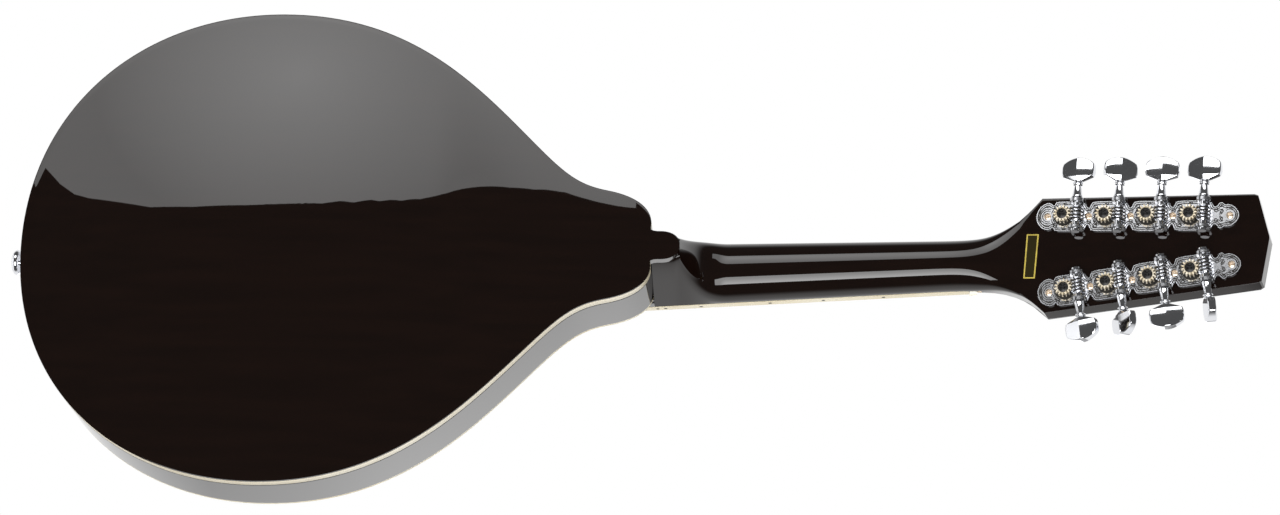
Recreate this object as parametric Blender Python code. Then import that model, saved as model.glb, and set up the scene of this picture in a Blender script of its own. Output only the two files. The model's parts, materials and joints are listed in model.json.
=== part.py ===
"""Electric mandolin: hollow teardrop body, bolted-on hardware and eight geared tuners.

The pieces are drawn in the bench frame: x runs to the treble side, y to the back of the instrument and
z up the neck. z = 0 is the end of the body, under the twelfth fret, and y = 0 is the edge of the back.
An empty at the top of the tree then hangs the whole instrument by its headstock, so that the world's
origin is the point where a wall hanger's two prongs carry it.
"""
import math

import bmesh
import bpy
from mathutils import Matrix, Vector

MM = 0.001

# Clearances
GLUE_GAP = 0.25 * MM            # between two meshes that are glued or screwed together
RUNNING_GAP = 0.3 * MM          # round a shaft that turns, and under a piece that slides
PROUD = 0.02 * MM               # so that two joined solids share no face

# Strings and neck line
SCALE_LENGTH = 352.4 * MM
BODY_JOIN_FRET = 12
FRET_COUNT = 20
NECK_PITCH = math.radians(6.81)
FINGERBOARD_THICKNESS = 5.5 * MM
FINGERBOARD_TOP_AT_JOIN = 58.85 * MM
FINGERBOARD_TAIL = 4.0 * MM
FRET_HEIGHT = 1.0 * MM
FRET_WIDTH = 1.8 * MM
NUT_HALF_WIDTH = 14.3 * MM
JOIN_HALF_WIDTH = 18.1 * MM
BOARD_BINDING_WIDTH = 1.5 * MM
NUT_THICKNESS = 4.0 * MM
NUT_RISE = 1.9 * MM
ACTION_AT_NUT = 0.25 * MM
ACTION_AT_JOIN = 1.5 * MM
COURSE_SPACING_NUT = 7.2 * MM
COURSE_SPACING_BRIDGE = 12.2 * MM
COURSE_SPACING_TAIL = 9.4 * MM
PAIR_HALF_GAP_NUT = 0.9 * MM
PAIR_HALF_GAP_BRIDGE = 1.25 * MM
STRING_DIAMETERS = [1.02 * MM, 0.66 * MM, 0.38 * MM, 0.28 * MM]

# Body outline: half widths and stations of four Bezier pieces, with the lengths of their handles
TAIL_Z = -345.8 * MM
WIDEST_HALF_WIDTH = 135.4 * MM
WIDEST_Z = -208.7 * MM
TAIL_HANDLE = 83.4 * MM
WIDEST_LOWER_HANDLE = 76.2 * MM
WIDEST_UPPER_HANDLE = 73.8 * MM
WAIST_HALF_WIDTH = 55.7 * MM
WAIST_Z = -62.6 * MM
WAIST_LEAN = math.radians(45.7)
WAIST_LOWER_HANDLE = 48.4 * MM
WAIST_UPPER_HANDLE = 24.0 * MM
SHOULDER_HALF_WIDTH = 30.4 * MM
SHOULDER_Z = -23.2 * MM
SHOULDER_LEAN = math.radians(11.4)
SHOULDER_LOWER_HANDLE = 15.4 * MM
SHOULDER_UPPER_HANDLE = 17.5 * MM
CROWN_HALF_WIDTH = 10.9 * MM
CROWN_LEAN = math.radians(98.2)
CROWN_HANDLE = 8.5 * MM
OUTLINE_STEPS = (6, 5, 3, 3)

# Body shell
RIM_DEPTH = 45.2 * MM
RIB_THICKNESS = 2.2 * MM
BINDING_WIDTH = 1.3 * MM
BINDING_HEIGHT = 4.5 * MM
PLATE_THICKNESS = 4.0 * MM
ARCH_HEIGHT = 14.0 * MM
RECURVE_DEPTH = 0.5 * MM
RECURVE_START = 0.78
ARCH_CENTRE_Z = -200.0 * MM
ARCH_RINGS = (0.93, 0.82, 0.62, 0.34)
PLATE_SEAT = 0.945
LINING_WIDTH = 5.0 * MM
LINING_HEIGHT = 11.0 * MM
NECK_BLOCK_DEPTH = 42.0 * MM
TAIL_BLOCK_DEPTH = 22.0 * MM
TAIL_BLOCK_HALF_WIDTH = 32.0 * MM
TONE_BAR_WIDTH = 6.0 * MM
TONE_BAR_HEIGHT = 11.0 * MM
TONE_BAR_X = 27.0 * MM
TONE_BAR_LOW_Z = -272.0 * MM
TONE_BAR_HIGH_Z = -98.0 * MM
FHOLE_X = 64.0 * MM
FHOLE_Z = -188.0 * MM
FHOLE_LENGTH = 74.0 * MM
FHOLE_SLOT = 5.0 * MM
FHOLE_SWING = 9.0 * MM
FHOLE_EYE_RADIUS = 5.0 * MM

# Neck and heel
HEEL_HALF_WIDTH = 8.5 * MM
HEEL_LENGTH = 17.0 * MM
BUTTON_FLARE = 2.5 * MM
HEEL_SCOOP_LENGTH = 45.0 * MM
HEEL_SCOOP_POWER = 5.0
NECK_DEPTH_LOW = 15.2 * MM
NECK_DEPTH_NUT = 13.6 * MM
TRUSS_ROD_WIDTH = 5.0 * MM
TRUSS_ROD_HEIGHT = 7.0 * MM
TRUSS_ROD_LENGTH = 158.0 * MM

# Headstock
HEAD_TILT = math.radians(14.96)
HEAD_FACE_AT_NUT = -35.6 * MM
HEAD_WOOD = 10.0 * MM
OVERLAY = 1.55 * MM
FLARE_LENGTH = 43.9 * MM
FLARE_HALF_WIDTH = 33.2 * MM
FLARE_LOW_HANDLE = 26.4 * MM
FLARE_HIGH_HANDLE = 12.0 * MM
FLARE_LEAN = math.radians(46.0)
TIP_HALF_WIDTH = 25.2 * MM
TIP_CORNER_S = 161.4 * MM
TIP_S = 166.4 * MM
OVERLAY_START_S = 7.0 * MM
ROD_COVER_HALF_WIDTH = 10.0 * MM
ROD_COVER_LENGTH = 36.0 * MM
ROD_COVER_THICKNESS = 1.5 * MM

# Tuners
TUNERS_PER_SIDE = 4
TUNER_PITCH = 23.0 * MM
FIRST_POST_S = 55.6 * MM
FIRST_POST_X = 21.3 * MM
ROW_LEAN = math.radians(4.62)
TUNER_PLATE = 0.8 * MM
TUNER_PLATE_HALF_WIDTH = 8.7 * MM
TUNER_PLATE_WAIST = 5.0 * MM
TUNER_PLATE_ROUND_END = 8.0 * MM
GEAR_TEETH = 14
GEAR_PITCH_RADIUS = 4.4 * MM
WORM_PITCH_RADIUS = 3.35 * MM
TOOTH_HEIGHT = 0.42 * MM
TOOTH_DEPTH = 0.55 * MM
TOOTH_BACKLASH = 0.50 * MM
GEAR_THICKNESS = 3.2 * MM
WORM_HALF_LENGTH = 4.1 * MM
JOURNAL_RADIUS = 2.0 * MM
KEY_SIDES = 8
LUG_INNER = 6.7 * MM
LUG_THICKNESS_OUTER = 3.0 * MM
LUG_THICKNESS_INNER = 1.8 * MM
LUG_HALF_WIDTH = 3.7 * MM
STEM_RADIUS = 3.0 * MM
STEM_WAIST_RADIUS = 2.1 * MM
BUTTON_START = 18.6 * MM
BUTTON_HEIGHT = 13.2 * MM
BUTTON_HALF_WIDTH = 8.8 * MM
BUTTON_HALF_THICKNESS = 3.4 * MM
POST_RADIUS = 3.0 * MM
POST_RISE = 13.0 * MM
COIL_RADIUS = 3.7 * MM
COIL_HEIGHT = 7.6 * MM
GEAR_SCREW_RADIUS = 2.9 * MM
KEY_TURNS_TREBLE = (-10.0, 22.0, 4.0, -8.0)
KEY_TURNS_BASS = (16.0, 48.0, -4.0, 74.0)

# Bridge
BRIDGE_BASE_LENGTH = 112.0 * MM
BRIDGE_BASE_WIDTH = 12.0 * MM
BRIDGE_BASE_HEIGHT = 8.5 * MM
BRIDGE_POST_X = 27.0 * MM
BRIDGE_POST_RADIUS = 1.6 * MM
THUMBWHEEL_RADIUS = 5.5 * MM
THUMBWHEEL_THICKNESS = 2.4 * MM
SADDLE_DROP = 2.0 * MM
SADDLE_HALF_LENGTH = 38.0 * MM
SADDLE_WIDTH = 7.0 * MM
SADDLE_CREST = 2.2 * MM

# Tailpiece and end pin
TAILPIECE_HALF_WIDTH = 22.0 * MM
TAILPIECE_SHEET = 1.2 * MM
TAILPIECE_FLANGE = 26.0 * MM
TAILPIECE_REACH = 66.0 * MM
TAILPIECE_LIFT = 2.6 * MM
TAILPIECE_SLOPE = math.radians(9.6)
HOOK_Z = 14.0 * MM
HOOK_HEIGHT = 4.0 * MM
HOOK_SHEET = 1.0 * MM
COVER_LENGTH = 54.0 * MM
COVER_HEIGHT = 9.5 * MM
COVER_SHEET = 0.9 * MM
END_PIN_DEPTH = 37.0 * MM
END_PIN_RADIUS = 7.25 * MM
END_PIN_LENGTH = 11.6 * MM
END_PIN_SHANK_RADIUS = 2.3 * MM
END_PIN_SHANK = 9.0 * MM

# Electrics
PICKUP_TO_BOARD = 5.3 * MM
PICKUP_HALF_LENGTH = 29.0 * MM
PICKUP_HALF_WIDTH = 9.5 * MM
PICKUP_STRING_GAP = 3.4 * MM
PICKUP_COIL_HALF_LENGTH = 25.0 * MM
PICKUP_COIL_HALF_WIDTH = 6.5 * MM
PICKUP_SUNK = 9.0 * MM
PICKUP_CORNER = 3.0 * MM
PICKUP_EASE = 1.2 * MM
POT_RADIUS = 8.5 * MM
POT_HEIGHT = 9.0 * MM
POT_NECK_RADIUS = 3.6 * MM
SHAFT_RADIUS = 2.6 * MM
KNOB_RADIUS = 9.5 * MM
KNOB_HEIGHT = 14.0 * MM
KNOB_LIFT = 2.0 * MM
VOLUME_X = 84.0 * MM
VOLUME_Z = -252.0 * MM
TONE_X = 58.0 * MM
TONE_Z = -286.0 * MM
JACK_BORE_RADIUS = 3.3 * MM
JACK_BARREL_RADIUS = 4.6 * MM
JACK_LENGTH = 24.0 * MM
JACK_NUT_RADIUS = 6.6 * MM
WIRE_RADIUS = 1.2 * MM
WIRE_X = 41.0 * MM
WIRE_HIGH_Z = -140.0 * MM
WIRE_LOW_Z = -220.0 * MM
WIRE_SLACK = 12.0 * MM

# Where the wall hanger's prongs touch the flare of the headstock
HANGER_S = 28.0 * MM

# Worked out from the sizes above
NUT_Z = SCALE_LENGTH * 2 ** (-BODY_JOIN_FRET / 12)
BRIDGE_Z = NUT_Z - SCALE_LENGTH
BOARD_END_Z = BRIDGE_Z + SCALE_LENGTH * 2 ** (-FRET_COUNT / 12) - FINGERBOARD_TAIL
PICKUP_Z = BOARD_END_Z - PICKUP_TO_BOARD - PICKUP_HALF_WIDTH
BODY_END_Z = BINDING_WIDTH
RIM_END_Z = BODY_END_Z + GLUE_GAP
TOP_EDGE_Y = -RIM_DEPTH
HEAD_PLATE_BASE = GLUE_GAP + TUNER_PLATE
CENTRE_DISTANCE = GEAR_PITCH_RADIUS + WORM_PITCH_RADIUS
THREAD_PITCH = 2 * math.pi * GEAR_PITCH_RADIUS / GEAR_TEETH
WORM_OUTER = WORM_PITCH_RADIUS + TOOTH_HEIGHT
WORM_ROOT = WORM_PITCH_RADIUS - TOOTH_DEPTH
WORM_HEIGHT = HEAD_PLATE_BASE + WORM_OUTER + RUNNING_GAP
STRING_COUNT = 2 * len(STRING_DIAMETERS)


# Colours, as the photograph shows them
MATERIALS = {
    "dark_lacquer": ((0.030, 0.018, 0.014, 1.0), 0.12, 0.0),
    "ivory_binding": ((0.78, 0.72, 0.55, 1.0), 0.35, 0.0),
    "chrome": ((0.80, 0.81, 0.82, 1.0), 0.12, 1.0),
    "gear_nickel": ((0.75, 0.70, 0.60, 1.0), 0.30, 1.0),
    "rosewood": ((0.10, 0.055, 0.035, 1.0), 0.45, 0.0),
    "bare_spruce": ((0.68, 0.52, 0.33, 1.0), 0.60, 0.0),
    "black_plastic": ((0.02, 0.02, 0.02, 1.0), 0.35, 0.0),
    "bone": ((0.85, 0.81, 0.70, 1.0), 0.40, 0.0),
    "string_steel": ((0.70, 0.69, 0.66, 1.0), 0.25, 1.0),
}


def make_material(name):
    """One Principled material from the table above, made once and then reused."""
    existing = bpy.data.materials.get(name)
    if existing:
        return existing
    colour, roughness, metallic = MATERIALS[name]
    material = bpy.data.materials.new(name)
    material.use_nodes = True
    shader = material.node_tree.nodes["Principled BSDF"]
    shader.inputs["Base Color"].default_value = colour
    shader.inputs["Roughness"].default_value = roughness
    shader.inputs["Metallic"].default_value = metallic
    material.diffuse_color = colour
    return material


def add_object(name, data, material, parent, matrix=None, cutter=False):
    """Links one named object under its parent, with its own material."""
    obj = bpy.data.objects.new(name, data)
    bpy.context.scene.collection.objects.link(obj)
    obj.parent = parent
    if matrix is not None:
        obj.matrix_local = matrix
    if cutter:
        obj.hide_render = True
        obj.display_type = "WIRE"
    elif not data.materials:
        data.materials.append(make_material(material))
    return obj


def finish_mesh(name, bm):
    """Turns a bmesh into a mesh with outward faces, smooth but for its sharp edges."""
    bmesh.ops.recalc_face_normals(bm, faces=bm.faces[:])
    mesh = bpy.data.meshes.new(name)
    bm.to_mesh(mesh)
    bm.free()
    mesh.shade_smooth()
    mesh.set_sharp_from_angle(angle=math.radians(35))
    return mesh


def loft(name, rings, pole=None):
    """A skin over rings of equal length, each a list of points, with a face on each end or a pole on the last."""
    bm = bmesh.new()
    rows = [[bm.verts.new(p) for p in ring] for ring in rings]
    count = len(rows[0])
    for low, high in zip(rows, rows[1:]):
        for i in range(count):
            j = (i + 1) % count
            bm.faces.new((low[i], low[j], high[j], high[i]))
    bm.faces.new(rows[0][::-1])
    if pole is None:
        bm.faces.new(rows[-1])
    else:
        top = bm.verts.new(pole)
        for i in range(count):
            bm.faces.new((rows[-1][i], rows[-1][(i + 1) % count], top))
    return finish_mesh(name, bm)


def prism(name, outline, y_low, y_high):
    """A plate: an outline of (x, z) points carried from one y to another."""
    return loft(name, [[(x, y, z) for x, z in outline] for y in (y_low, y_high)])


def box(name, low, high):
    """A plain block between two corners."""
    outline = [(low[0], low[2]), (high[0], low[2]), (high[0], high[2]), (low[0], high[2])]
    return prism(name, outline, low[1], high[1])


def turned(name, profile, sides, hollow=False):
    """A turned piece about local z: profile is a list of (radius, height). Hollow closes into a ring."""
    def ring(radius, height):
        return [(radius * math.cos(2 * math.pi * i / sides), radius * math.sin(2 * math.pi * i / sides), height)
                for i in range(sides)]
    rings = [ring(r, h) for r, h in profile]
    if hollow:
        rings.append(rings[0])
        mesh = ring_loft(name, rings)
    else:
        mesh = loft(name, rings)
    return mesh


def ring_loft(name, rings):
    """A skin over rings whose last ring is the first one again, as for a washer."""
    bm = bmesh.new()
    rows = [[bm.verts.new(p) for p in ring] for ring in rings[:-1]]
    rows.append(rows[0])
    count = len(rows[0])
    for low, high in zip(rows, rows[1:]):
        for i in range(count):
            j = (i + 1) % count
            bm.faces.new((low[i], low[j], high[j], high[i]))
    return finish_mesh(name, bm)


def modify(obj, cutter, operation):
    """Adds one exact boolean with another object."""
    step = obj.modifiers.new(f"{operation.lower()} {cutter.name}", "BOOLEAN")
    step.operation = operation
    step.solver = "EXACT"
    step.object = cutter


# Body outline

def bezier(p0, p1, p2, p3, steps):
    """Points and directions along one cubic piece, without its last point."""
    rows = []
    for i in range(steps):
        t = i / steps
        u = 1 - t
        point = p0 * u ** 3 + p1 * (3 * u * u * t) + p2 * (3 * u * t * t) + p3 * t ** 3
        slope = (p1 - p0) * (u * u) + (p2 - p1) * (2 * u * t) + (p3 - p2) * (t * t)
        rows.append((point, slope.normalized()))
    return rows


def lean(angle):
    """A direction up the neck that leans to the centre line by the angle."""
    return Vector((-math.sin(angle), math.cos(angle)))


def half_outline(offset=0.0):
    """One half of the body's outline, from the tail's centre to the heel, moved outward by offset."""
    tail = Vector((0, TAIL_Z))
    widest = Vector((WIDEST_HALF_WIDTH, WIDEST_Z))
    waist = Vector((WAIST_HALF_WIDTH, WAIST_Z))
    shoulder = Vector((SHOULDER_HALF_WIDTH, SHOULDER_Z))
    crown = Vector((CROWN_HALF_WIDTH, 0))
    up = Vector((0, 1))
    pieces = [
        (tail, tail + Vector((TAIL_HANDLE, 0)), widest - up * WIDEST_LOWER_HANDLE, widest),
        (widest, widest + up * WIDEST_UPPER_HANDLE, waist - lean(WAIST_LEAN) * WAIST_LOWER_HANDLE, waist),
        (waist, waist + lean(WAIST_LEAN) * WAIST_UPPER_HANDLE,
         shoulder - lean(SHOULDER_LEAN) * SHOULDER_LOWER_HANDLE, shoulder),
        (shoulder, shoulder + lean(SHOULDER_LEAN) * SHOULDER_UPPER_HANDLE,
         crown - lean(CROWN_LEAN) * CROWN_HANDLE, crown),
    ]
    rows = []
    for piece, steps in zip(pieces, OUTLINE_STEPS):
        rows += bezier(*piece, steps)
    rows.append((crown, Vector((-1, 0))))
    points = [(p.x + d.y * offset, p.y - d.x * offset) for p, d in rows]
    points[0] = (0.0, TAIL_Z - offset)
    points[-1] = (CROWN_HALF_WIDTH, offset)
    return points


def full_outline(offset=0.0):
    """The whole closed outline, bass side and treble side."""
    half = half_outline(offset)
    return half + [(-x, z) for x, z in reversed(half[1:])]


def edge_fraction(x, z):
    """How far (x, z) lies from the arch's centre to the body's edge: 0 at the centre and 1 at the edge."""
    outline = full_outline()
    dx, dz = x, z - ARCH_CENTRE_Z
    if math.hypot(dx, dz) < 1e-9:
        return 0.0
    for (ax, az), (bx, bz) in zip(outline, outline[1:] + outline[:1]):
        ex, ez = bx - ax, bz - az
        det = ex * dz - ez * dx
        if abs(det) < 1e-12:
            continue
        along = (dx * (az - ARCH_CENTRE_Z) - dz * ax) / det
        if -1e-9 <= along <= 1 + 1e-9:
            hit_x, hit_z = ax + ex * along, az + ez * along - ARCH_CENTRE_Z
            if hit_x * dx + hit_z * dz > 0:
                return math.hypot(dx, dz) / math.hypot(hit_x, hit_z)
    return 1.0


def arch(fraction):
    """Height of the carved arch: a raised cosine with a shallow recurve just inside the edge."""
    height = ARCH_HEIGHT * (1 + math.cos(math.pi * fraction)) / 2
    if fraction > RECURVE_START:
        height -= RECURVE_DEPTH * math.sin(math.pi * (fraction - RECURVE_START) / (1 - RECURVE_START))
    return height


def back_rise(x, z, fraction):
    """Height of the pressed back, a plain convex form: a bowl below its centre, a shallow trough above it."""
    if z < ARCH_CENTRE_Z:
        return ARCH_HEIGHT * (1 - fraction ** 2)
    width = interpolate([p for p in half_outline() if p[1] >= WIDEST_Z], z)
    return ARCH_HEIGHT * max(width ** 2 - x ** 2, 0.0) / WIDEST_HALF_WIDTH ** 2


def top_rise(x, z, fraction):
    """Height of the carved top, the same all round."""
    return arch(fraction)


def top_surface_y(x, z):
    """The outside of the top plate at one place."""
    return TOP_EDGE_Y - arch(min(edge_fraction(x, z), 1.0))


def scaled_outline(fraction, offset=0.0):
    """The outline drawn in towards the arch's centre."""
    return [(x * fraction, ARCH_CENTRE_Z + (z - ARCH_CENTRE_Z) * fraction) for x, z in full_outline(offset)]


def arched_plate(name, edge_y, outward, rise):
    """A carved plate: its outer arch, a flat gluing rim and the hollowed inside. outward is +1 or -1."""
    def ring(fraction, depth):
        return [(x, edge_y + outward * depth, z) for x, z in scaled_outline(fraction)]

    def arched_ring(fraction, drop):
        return [(x, edge_y + outward * (rise(x, z, fraction) - drop), z) for x, z in scaled_outline(fraction)]
    rings = [ring(1.0, -BINDING_HEIGHT), ring(1.0, 0.0)]
    rings += [arched_ring(f, 0.0) for f in ARCH_RINGS]
    outer_pole = (0.0, edge_y + outward * ARCH_HEIGHT, ARCH_CENTRE_Z)
    inner = [ring(PLATE_SEAT, -BINDING_HEIGHT)]
    inner += [arched_ring(f, PLATE_THICKNESS) for f in ARCH_RINGS[1:]]
    inner_pole = (0.0, edge_y + outward * (ARCH_HEIGHT - PLATE_THICKNESS), ARCH_CENTRE_Z)
    bm = bmesh.new()
    chains = [(rings, outer_pole), (inner, inner_pole)]
    first_rows = []
    for chain, pole in chains:
        rows = [[bm.verts.new(p) for p in r] for r in chain]
        first_rows.append(rows[0])
        count = len(rows[0])
        for low, high in zip(rows, rows[1:]):
            for i in range(count):
                j = (i + 1) % count
                bm.faces.new((low[i], low[j], high[j], high[i]))
        top = bm.verts.new(pole)
        for i in range(count):
            bm.faces.new((rows[-1][i], rows[-1][(i + 1) % count], top))
    outer, inside = first_rows
    for i in range(len(outer)):
        j = (i + 1) % len(outer)
        bm.faces.new((outer[j], outer[i], inside[i], inside[j]))
    return finish_mesh(name, bm)


def dome_cutter(name, gap, parent):
    """Everything under the top's outer surface, grown by gap: it trims what sits on the top."""
    rings = [[(x, 0.0, z) for x, z in full_outline(BINDING_WIDTH)],
             [(x, TOP_EDGE_Y - gap, z) for x, z in full_outline(BINDING_WIDTH)]]
    rings += [[(x, TOP_EDGE_Y - gap - arch(f), z) for x, z in scaled_outline(f)] for f in ARCH_RINGS]
    pole = (0.0, TOP_EDGE_Y - gap - ARCH_HEIGHT, ARCH_CENTRE_Z)
    return add_object(name, loft(name, rings, pole=pole), None, parent, cutter=True)


def strip_along(name, inner_offset, outer_offset, y_low, y_high, half):
    """A bent strip on the outline, from one offset to another and from one y to another."""
    inner = half_outline(inner_offset)
    outer = half_outline(outer_offset)
    if half:
        side = half
        rings = []
        for (ax, az), (bx, bz) in zip(inner, outer):
            ax = max(ax, GLUE_GAP / 2)
            bx = max(bx, GLUE_GAP / 2)
            rings.append([(side * ax, y_low, az), (side * bx, y_low, bz),
                          (side * bx, y_high, bz), (side * ax, y_high, az)])
        last = rings[-1]
        rings.append([(side * GLUE_GAP / 2, y, z) for _, y, z in last])
        return loft(name, rings)
    inner = full_outline(inner_offset)
    outer = full_outline(outer_offset)
    rings = [[(ax, y_low, az), (bx, y_low, bz), (bx, y_high, bz), (ax, y_high, az)]
             for (ax, az), (bx, bz) in zip(inner, outer)]
    rings.append(rings[0])
    return ring_loft(name, rings)


def make_body(root):
    """Plates, ribs, bindings, linings, blocks and tone bars."""
    back = add_object("back_plate", arched_plate("back_plate", 0.0, 1, back_rise), "dark_lacquer", root)
    top = add_object("top_plate", arched_plate("top_plate", TOP_EDGE_Y, -1, top_rise), "dark_lacquer", root)
    modify(back, heel_button(root), "UNION")

    for name, low, high in (("back_binding", -BINDING_HEIGHT, 0.0),
                            ("top_binding", TOP_EDGE_Y, TOP_EDGE_Y + BINDING_HEIGHT)):
        mesh = strip_along(name, GLUE_GAP, BINDING_WIDTH, low, high, 0)
        binding = add_object(name, mesh, "ivory_binding", root)
        if name == "back_binding":
            modify(binding, heel_button_gap(root), "DIFFERENCE")

    rib_low = TOP_EDGE_Y + BINDING_HEIGHT + GLUE_GAP
    rib_high = -BINDING_HEIGHT - GLUE_GAP
    ribs = {}
    for name, side in (("rib_bass", -1), ("rib_treble", 1)):
        mesh = strip_along(name, BINDING_WIDTH - RIB_THICKNESS, BINDING_WIDTH, rib_low, rib_high, side)
        ribs[name] = add_object(name, mesh, "dark_lacquer", root)

    lining_out = BINDING_WIDTH - RIB_THICKNESS - GLUE_GAP
    for name, low, high in (("back_lining", rib_high - LINING_HEIGHT, rib_high),
                            ("top_lining", rib_low, rib_low + LINING_HEIGHT)):
        add_object(name, lining(name, lining_out, low, high), "bare_spruce", root)

    block_out = lining_out
    neck_shape = [p for p in half_outline(block_out) if p[1] > -NECK_BLOCK_DEPTH]
    last = interpolate(half_outline(block_out), -NECK_BLOCK_DEPTH)
    neck_shape = [(last, -NECK_BLOCK_DEPTH)] + neck_shape
    neck_shape = neck_shape + [(-x, z) for x, z in reversed(neck_shape)]
    add_object("neck_block", prism("neck_block", neck_shape, rib_low, rib_high), "bare_spruce", root)

    tail_block = add_object("tail_block", tail_block_mesh(block_out, rib_low, rib_high), "bare_spruce", root)
    modify(tail_block, tail_rebate(root, block_out, rib_low, rib_high), "UNION")

    inside = dome_cutter("cutter under the top", -PLATE_THICKNESS - GLUE_GAP, root)
    for name, side in (("tone_bar_bass", -1), ("tone_bar_treble", 1)):
        x = side * TONE_BAR_X
        low = (x - TONE_BAR_WIDTH / 2, top_surface_y(x, ARCH_CENTRE_Z) - PLATE_THICKNESS, TONE_BAR_LOW_Z)
        underside = TOP_EDGE_Y - ARCH_HEIGHT + PLATE_THICKNESS + TONE_BAR_HEIGHT
        high = (x + TONE_BAR_WIDTH / 2, underside, TONE_BAR_HIGH_Z)
        bar = add_object(name, box(name, low, high), "bare_spruce", root)
        modify(bar, inside, "INTERSECT")
    return top, ribs


def interpolate(points, z):
    """Half width of an open outline at one z."""
    for (ax, az), (bx, bz) in zip(points, points[1:]):
        if az <= z <= bz:
            return ax + (bx - ax) * (z - az) / (bz - az)
    return points[-1][0]


def lining(name, out, low, high):
    """A lining that runs round the inside of the ribs, from one side of the neck block to the other."""
    limit = -NECK_BLOCK_DEPTH - GLUE_GAP
    rows = []
    outer = half_outline(out)
    inner = half_outline(out - LINING_WIDTH)
    for a, b in zip(inner, outer):
        if b[1] < limit and a[1] < limit:
            rows.append((a, b))
    rows.append(((interpolate(inner, limit), limit), (interpolate(outer, limit), limit)))
    ordered = [((-a[0], a[1]), (-b[0], b[1])) for a, b in reversed(rows[1:])] + rows
    rings = [[(a[0], low, a[1]), (b[0], low, b[1]), (b[0], high, b[1]), (a[0], high, a[1])] for a, b in ordered]
    return loft(name, rings)


def tail_shape(offset, depth):
    """The outline's arc across the tail block, closed by a straight inner side."""
    arc = [p for p in half_outline(offset) if p[0] < TAIL_BLOCK_HALF_WIDTH and p[1] < WIDEST_Z]
    inner_z = TAIL_Z + LINING_WIDTH + RIB_THICKNESS + depth
    right = arc + [(TAIL_BLOCK_HALF_WIDTH, interpolate_tail(offset, TAIL_BLOCK_HALF_WIDTH)),
                   (TAIL_BLOCK_HALF_WIDTH, inner_z)]
    return right + [(-x, z) for x, z in reversed(right[1:])]


def interpolate_tail(offset, x):
    """The z of the tail's arc at one half width."""
    points = half_outline(offset)
    for (ax, az), (bx, bz) in zip(points, points[1:]):
        if ax <= x <= bx:
            return az + (bz - az) * (x - ax) / (bx - ax)
    return points[0][1]


def tail_block_mesh(out, low, high):
    """The part of the tail block that stands clear of the linings."""
    return prism("tail_block", tail_shape(out - LINING_WIDTH - GLUE_GAP, TAIL_BLOCK_DEPTH), low, high)


def tail_rebate(root, out, low, high):
    """The tongue of the tail block that reaches the ribs between the two linings."""
    span = (low + LINING_HEIGHT + GLUE_GAP, high - LINING_HEIGHT - GLUE_GAP)
    mesh = prism("tongue of the tail block", tail_shape(out, TAIL_BLOCK_DEPTH / 2), *span)
    return add_object("tongue of the tail block", mesh, None, root, cutter=True)


def button_outline(grow):
    """The tab of the back that covers the heel: straight sides and a round end."""
    half = HEEL_HALF_WIDTH + grow
    end = HEEL_LENGTH + grow
    flare = BUTTON_FLARE
    side = [(half + flare, -flare), (half + flare * 0.3, BODY_END_Z), (half, BODY_END_Z + flare)]
    steps = 5
    for i in range(steps + 1):
        turn = math.pi / 2 * i / steps
        side.append((half * math.cos(turn) ** 0.6 if i < steps else 0.0,
                     end - half * 0.8 * (1 - math.sin(turn))))
    return side + [(-x, z) for x, z in reversed(side[:-1])]


def heel_button(root):
    """The solid of that tab, joined to the back plate."""
    mesh = prism("heel button", button_outline(0.0), -BINDING_HEIGHT, PROUD)
    return add_object("heel button", mesh, None, root, cutter=True)


def heel_button_gap(root):
    """What the binding leaves free for the tab."""
    mesh = prism("gap for the button", button_outline(GLUE_GAP), -BINDING_HEIGHT * 2, BINDING_HEIGHT)
    return add_object("gap for the button", mesh, None, root, cutter=True)


# f-holes

def fhole_cutters(root, side):
    """A curved slot with a round eye at each end, as three cutters through the top."""
    y_low = TOP_EDGE_Y - ARCH_HEIGHT * 2
    y_high = TOP_EDGE_Y + PLATE_THICKNESS * 2
    steps = 6
    left, right = [], []
    for i in range(steps + 1):
        t = i / steps * 2 - 1
        z = FHOLE_Z + t * FHOLE_LENGTH / 2
        x = side * (FHOLE_X - FHOLE_SWING * math.sin(t * math.pi / 2))
        half = FHOLE_SLOT / 2 * (1.15 - 0.55 * t * t)
        left.append((x - half, z))
        right.append((x + half, z))
    slot = prism("slot", left + right[::-1], y_low, y_high)
    cutters = [add_object(f"f-hole slot {side}", slot, None, root, cutter=True)]
    for end in (-1, 1):
        radius = FHOLE_EYE_RADIUS if end < 0 else FHOLE_EYE_RADIUS * 0.8
        x = side * (FHOLE_X - end * (FHOLE_SWING - radius * 0.6))
        z = FHOLE_Z + end * FHOLE_LENGTH / 2
        eye = turned("eye", [(radius, y_low), (radius, y_high)], 12)
        place = Matrix.Translation((x, 0, z)) @ Matrix.Rotation(-math.pi / 2, 4, "X")
        cutters.append(add_object(f"f-hole eye {side} {end}", eye, None, root, place, cutter=True))
    return cutters


# Neck, headstock and fingerboard

def board_y(z):
    """The fingerboard's top at one z."""
    return -FINGERBOARD_TOP_AT_JOIN + math.tan(NECK_PITCH) * z


def glue_y(z):
    """The neck's flat front, under the fingerboard."""
    return board_y(z) + FINGERBOARD_THICKNESS + GLUE_GAP


def board_half_width(z):
    """The fingerboard's half width, binding included."""
    return JOIN_HALF_WIDTH + (NUT_HALF_WIDTH - JOIN_HALF_WIDTH) * z / NUT_Z


def head_point(x, s, depth):
    """A bench point from the headstock's own measures: x, distance from the nut, depth under its face."""
    y = HEAD_FACE_AT_NUT + s * math.sin(HEAD_TILT) + depth * math.cos(HEAD_TILT)
    z = NUT_Z + s * math.cos(HEAD_TILT) - depth * math.sin(HEAD_TILT)
    return Vector((x, y, z))


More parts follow.
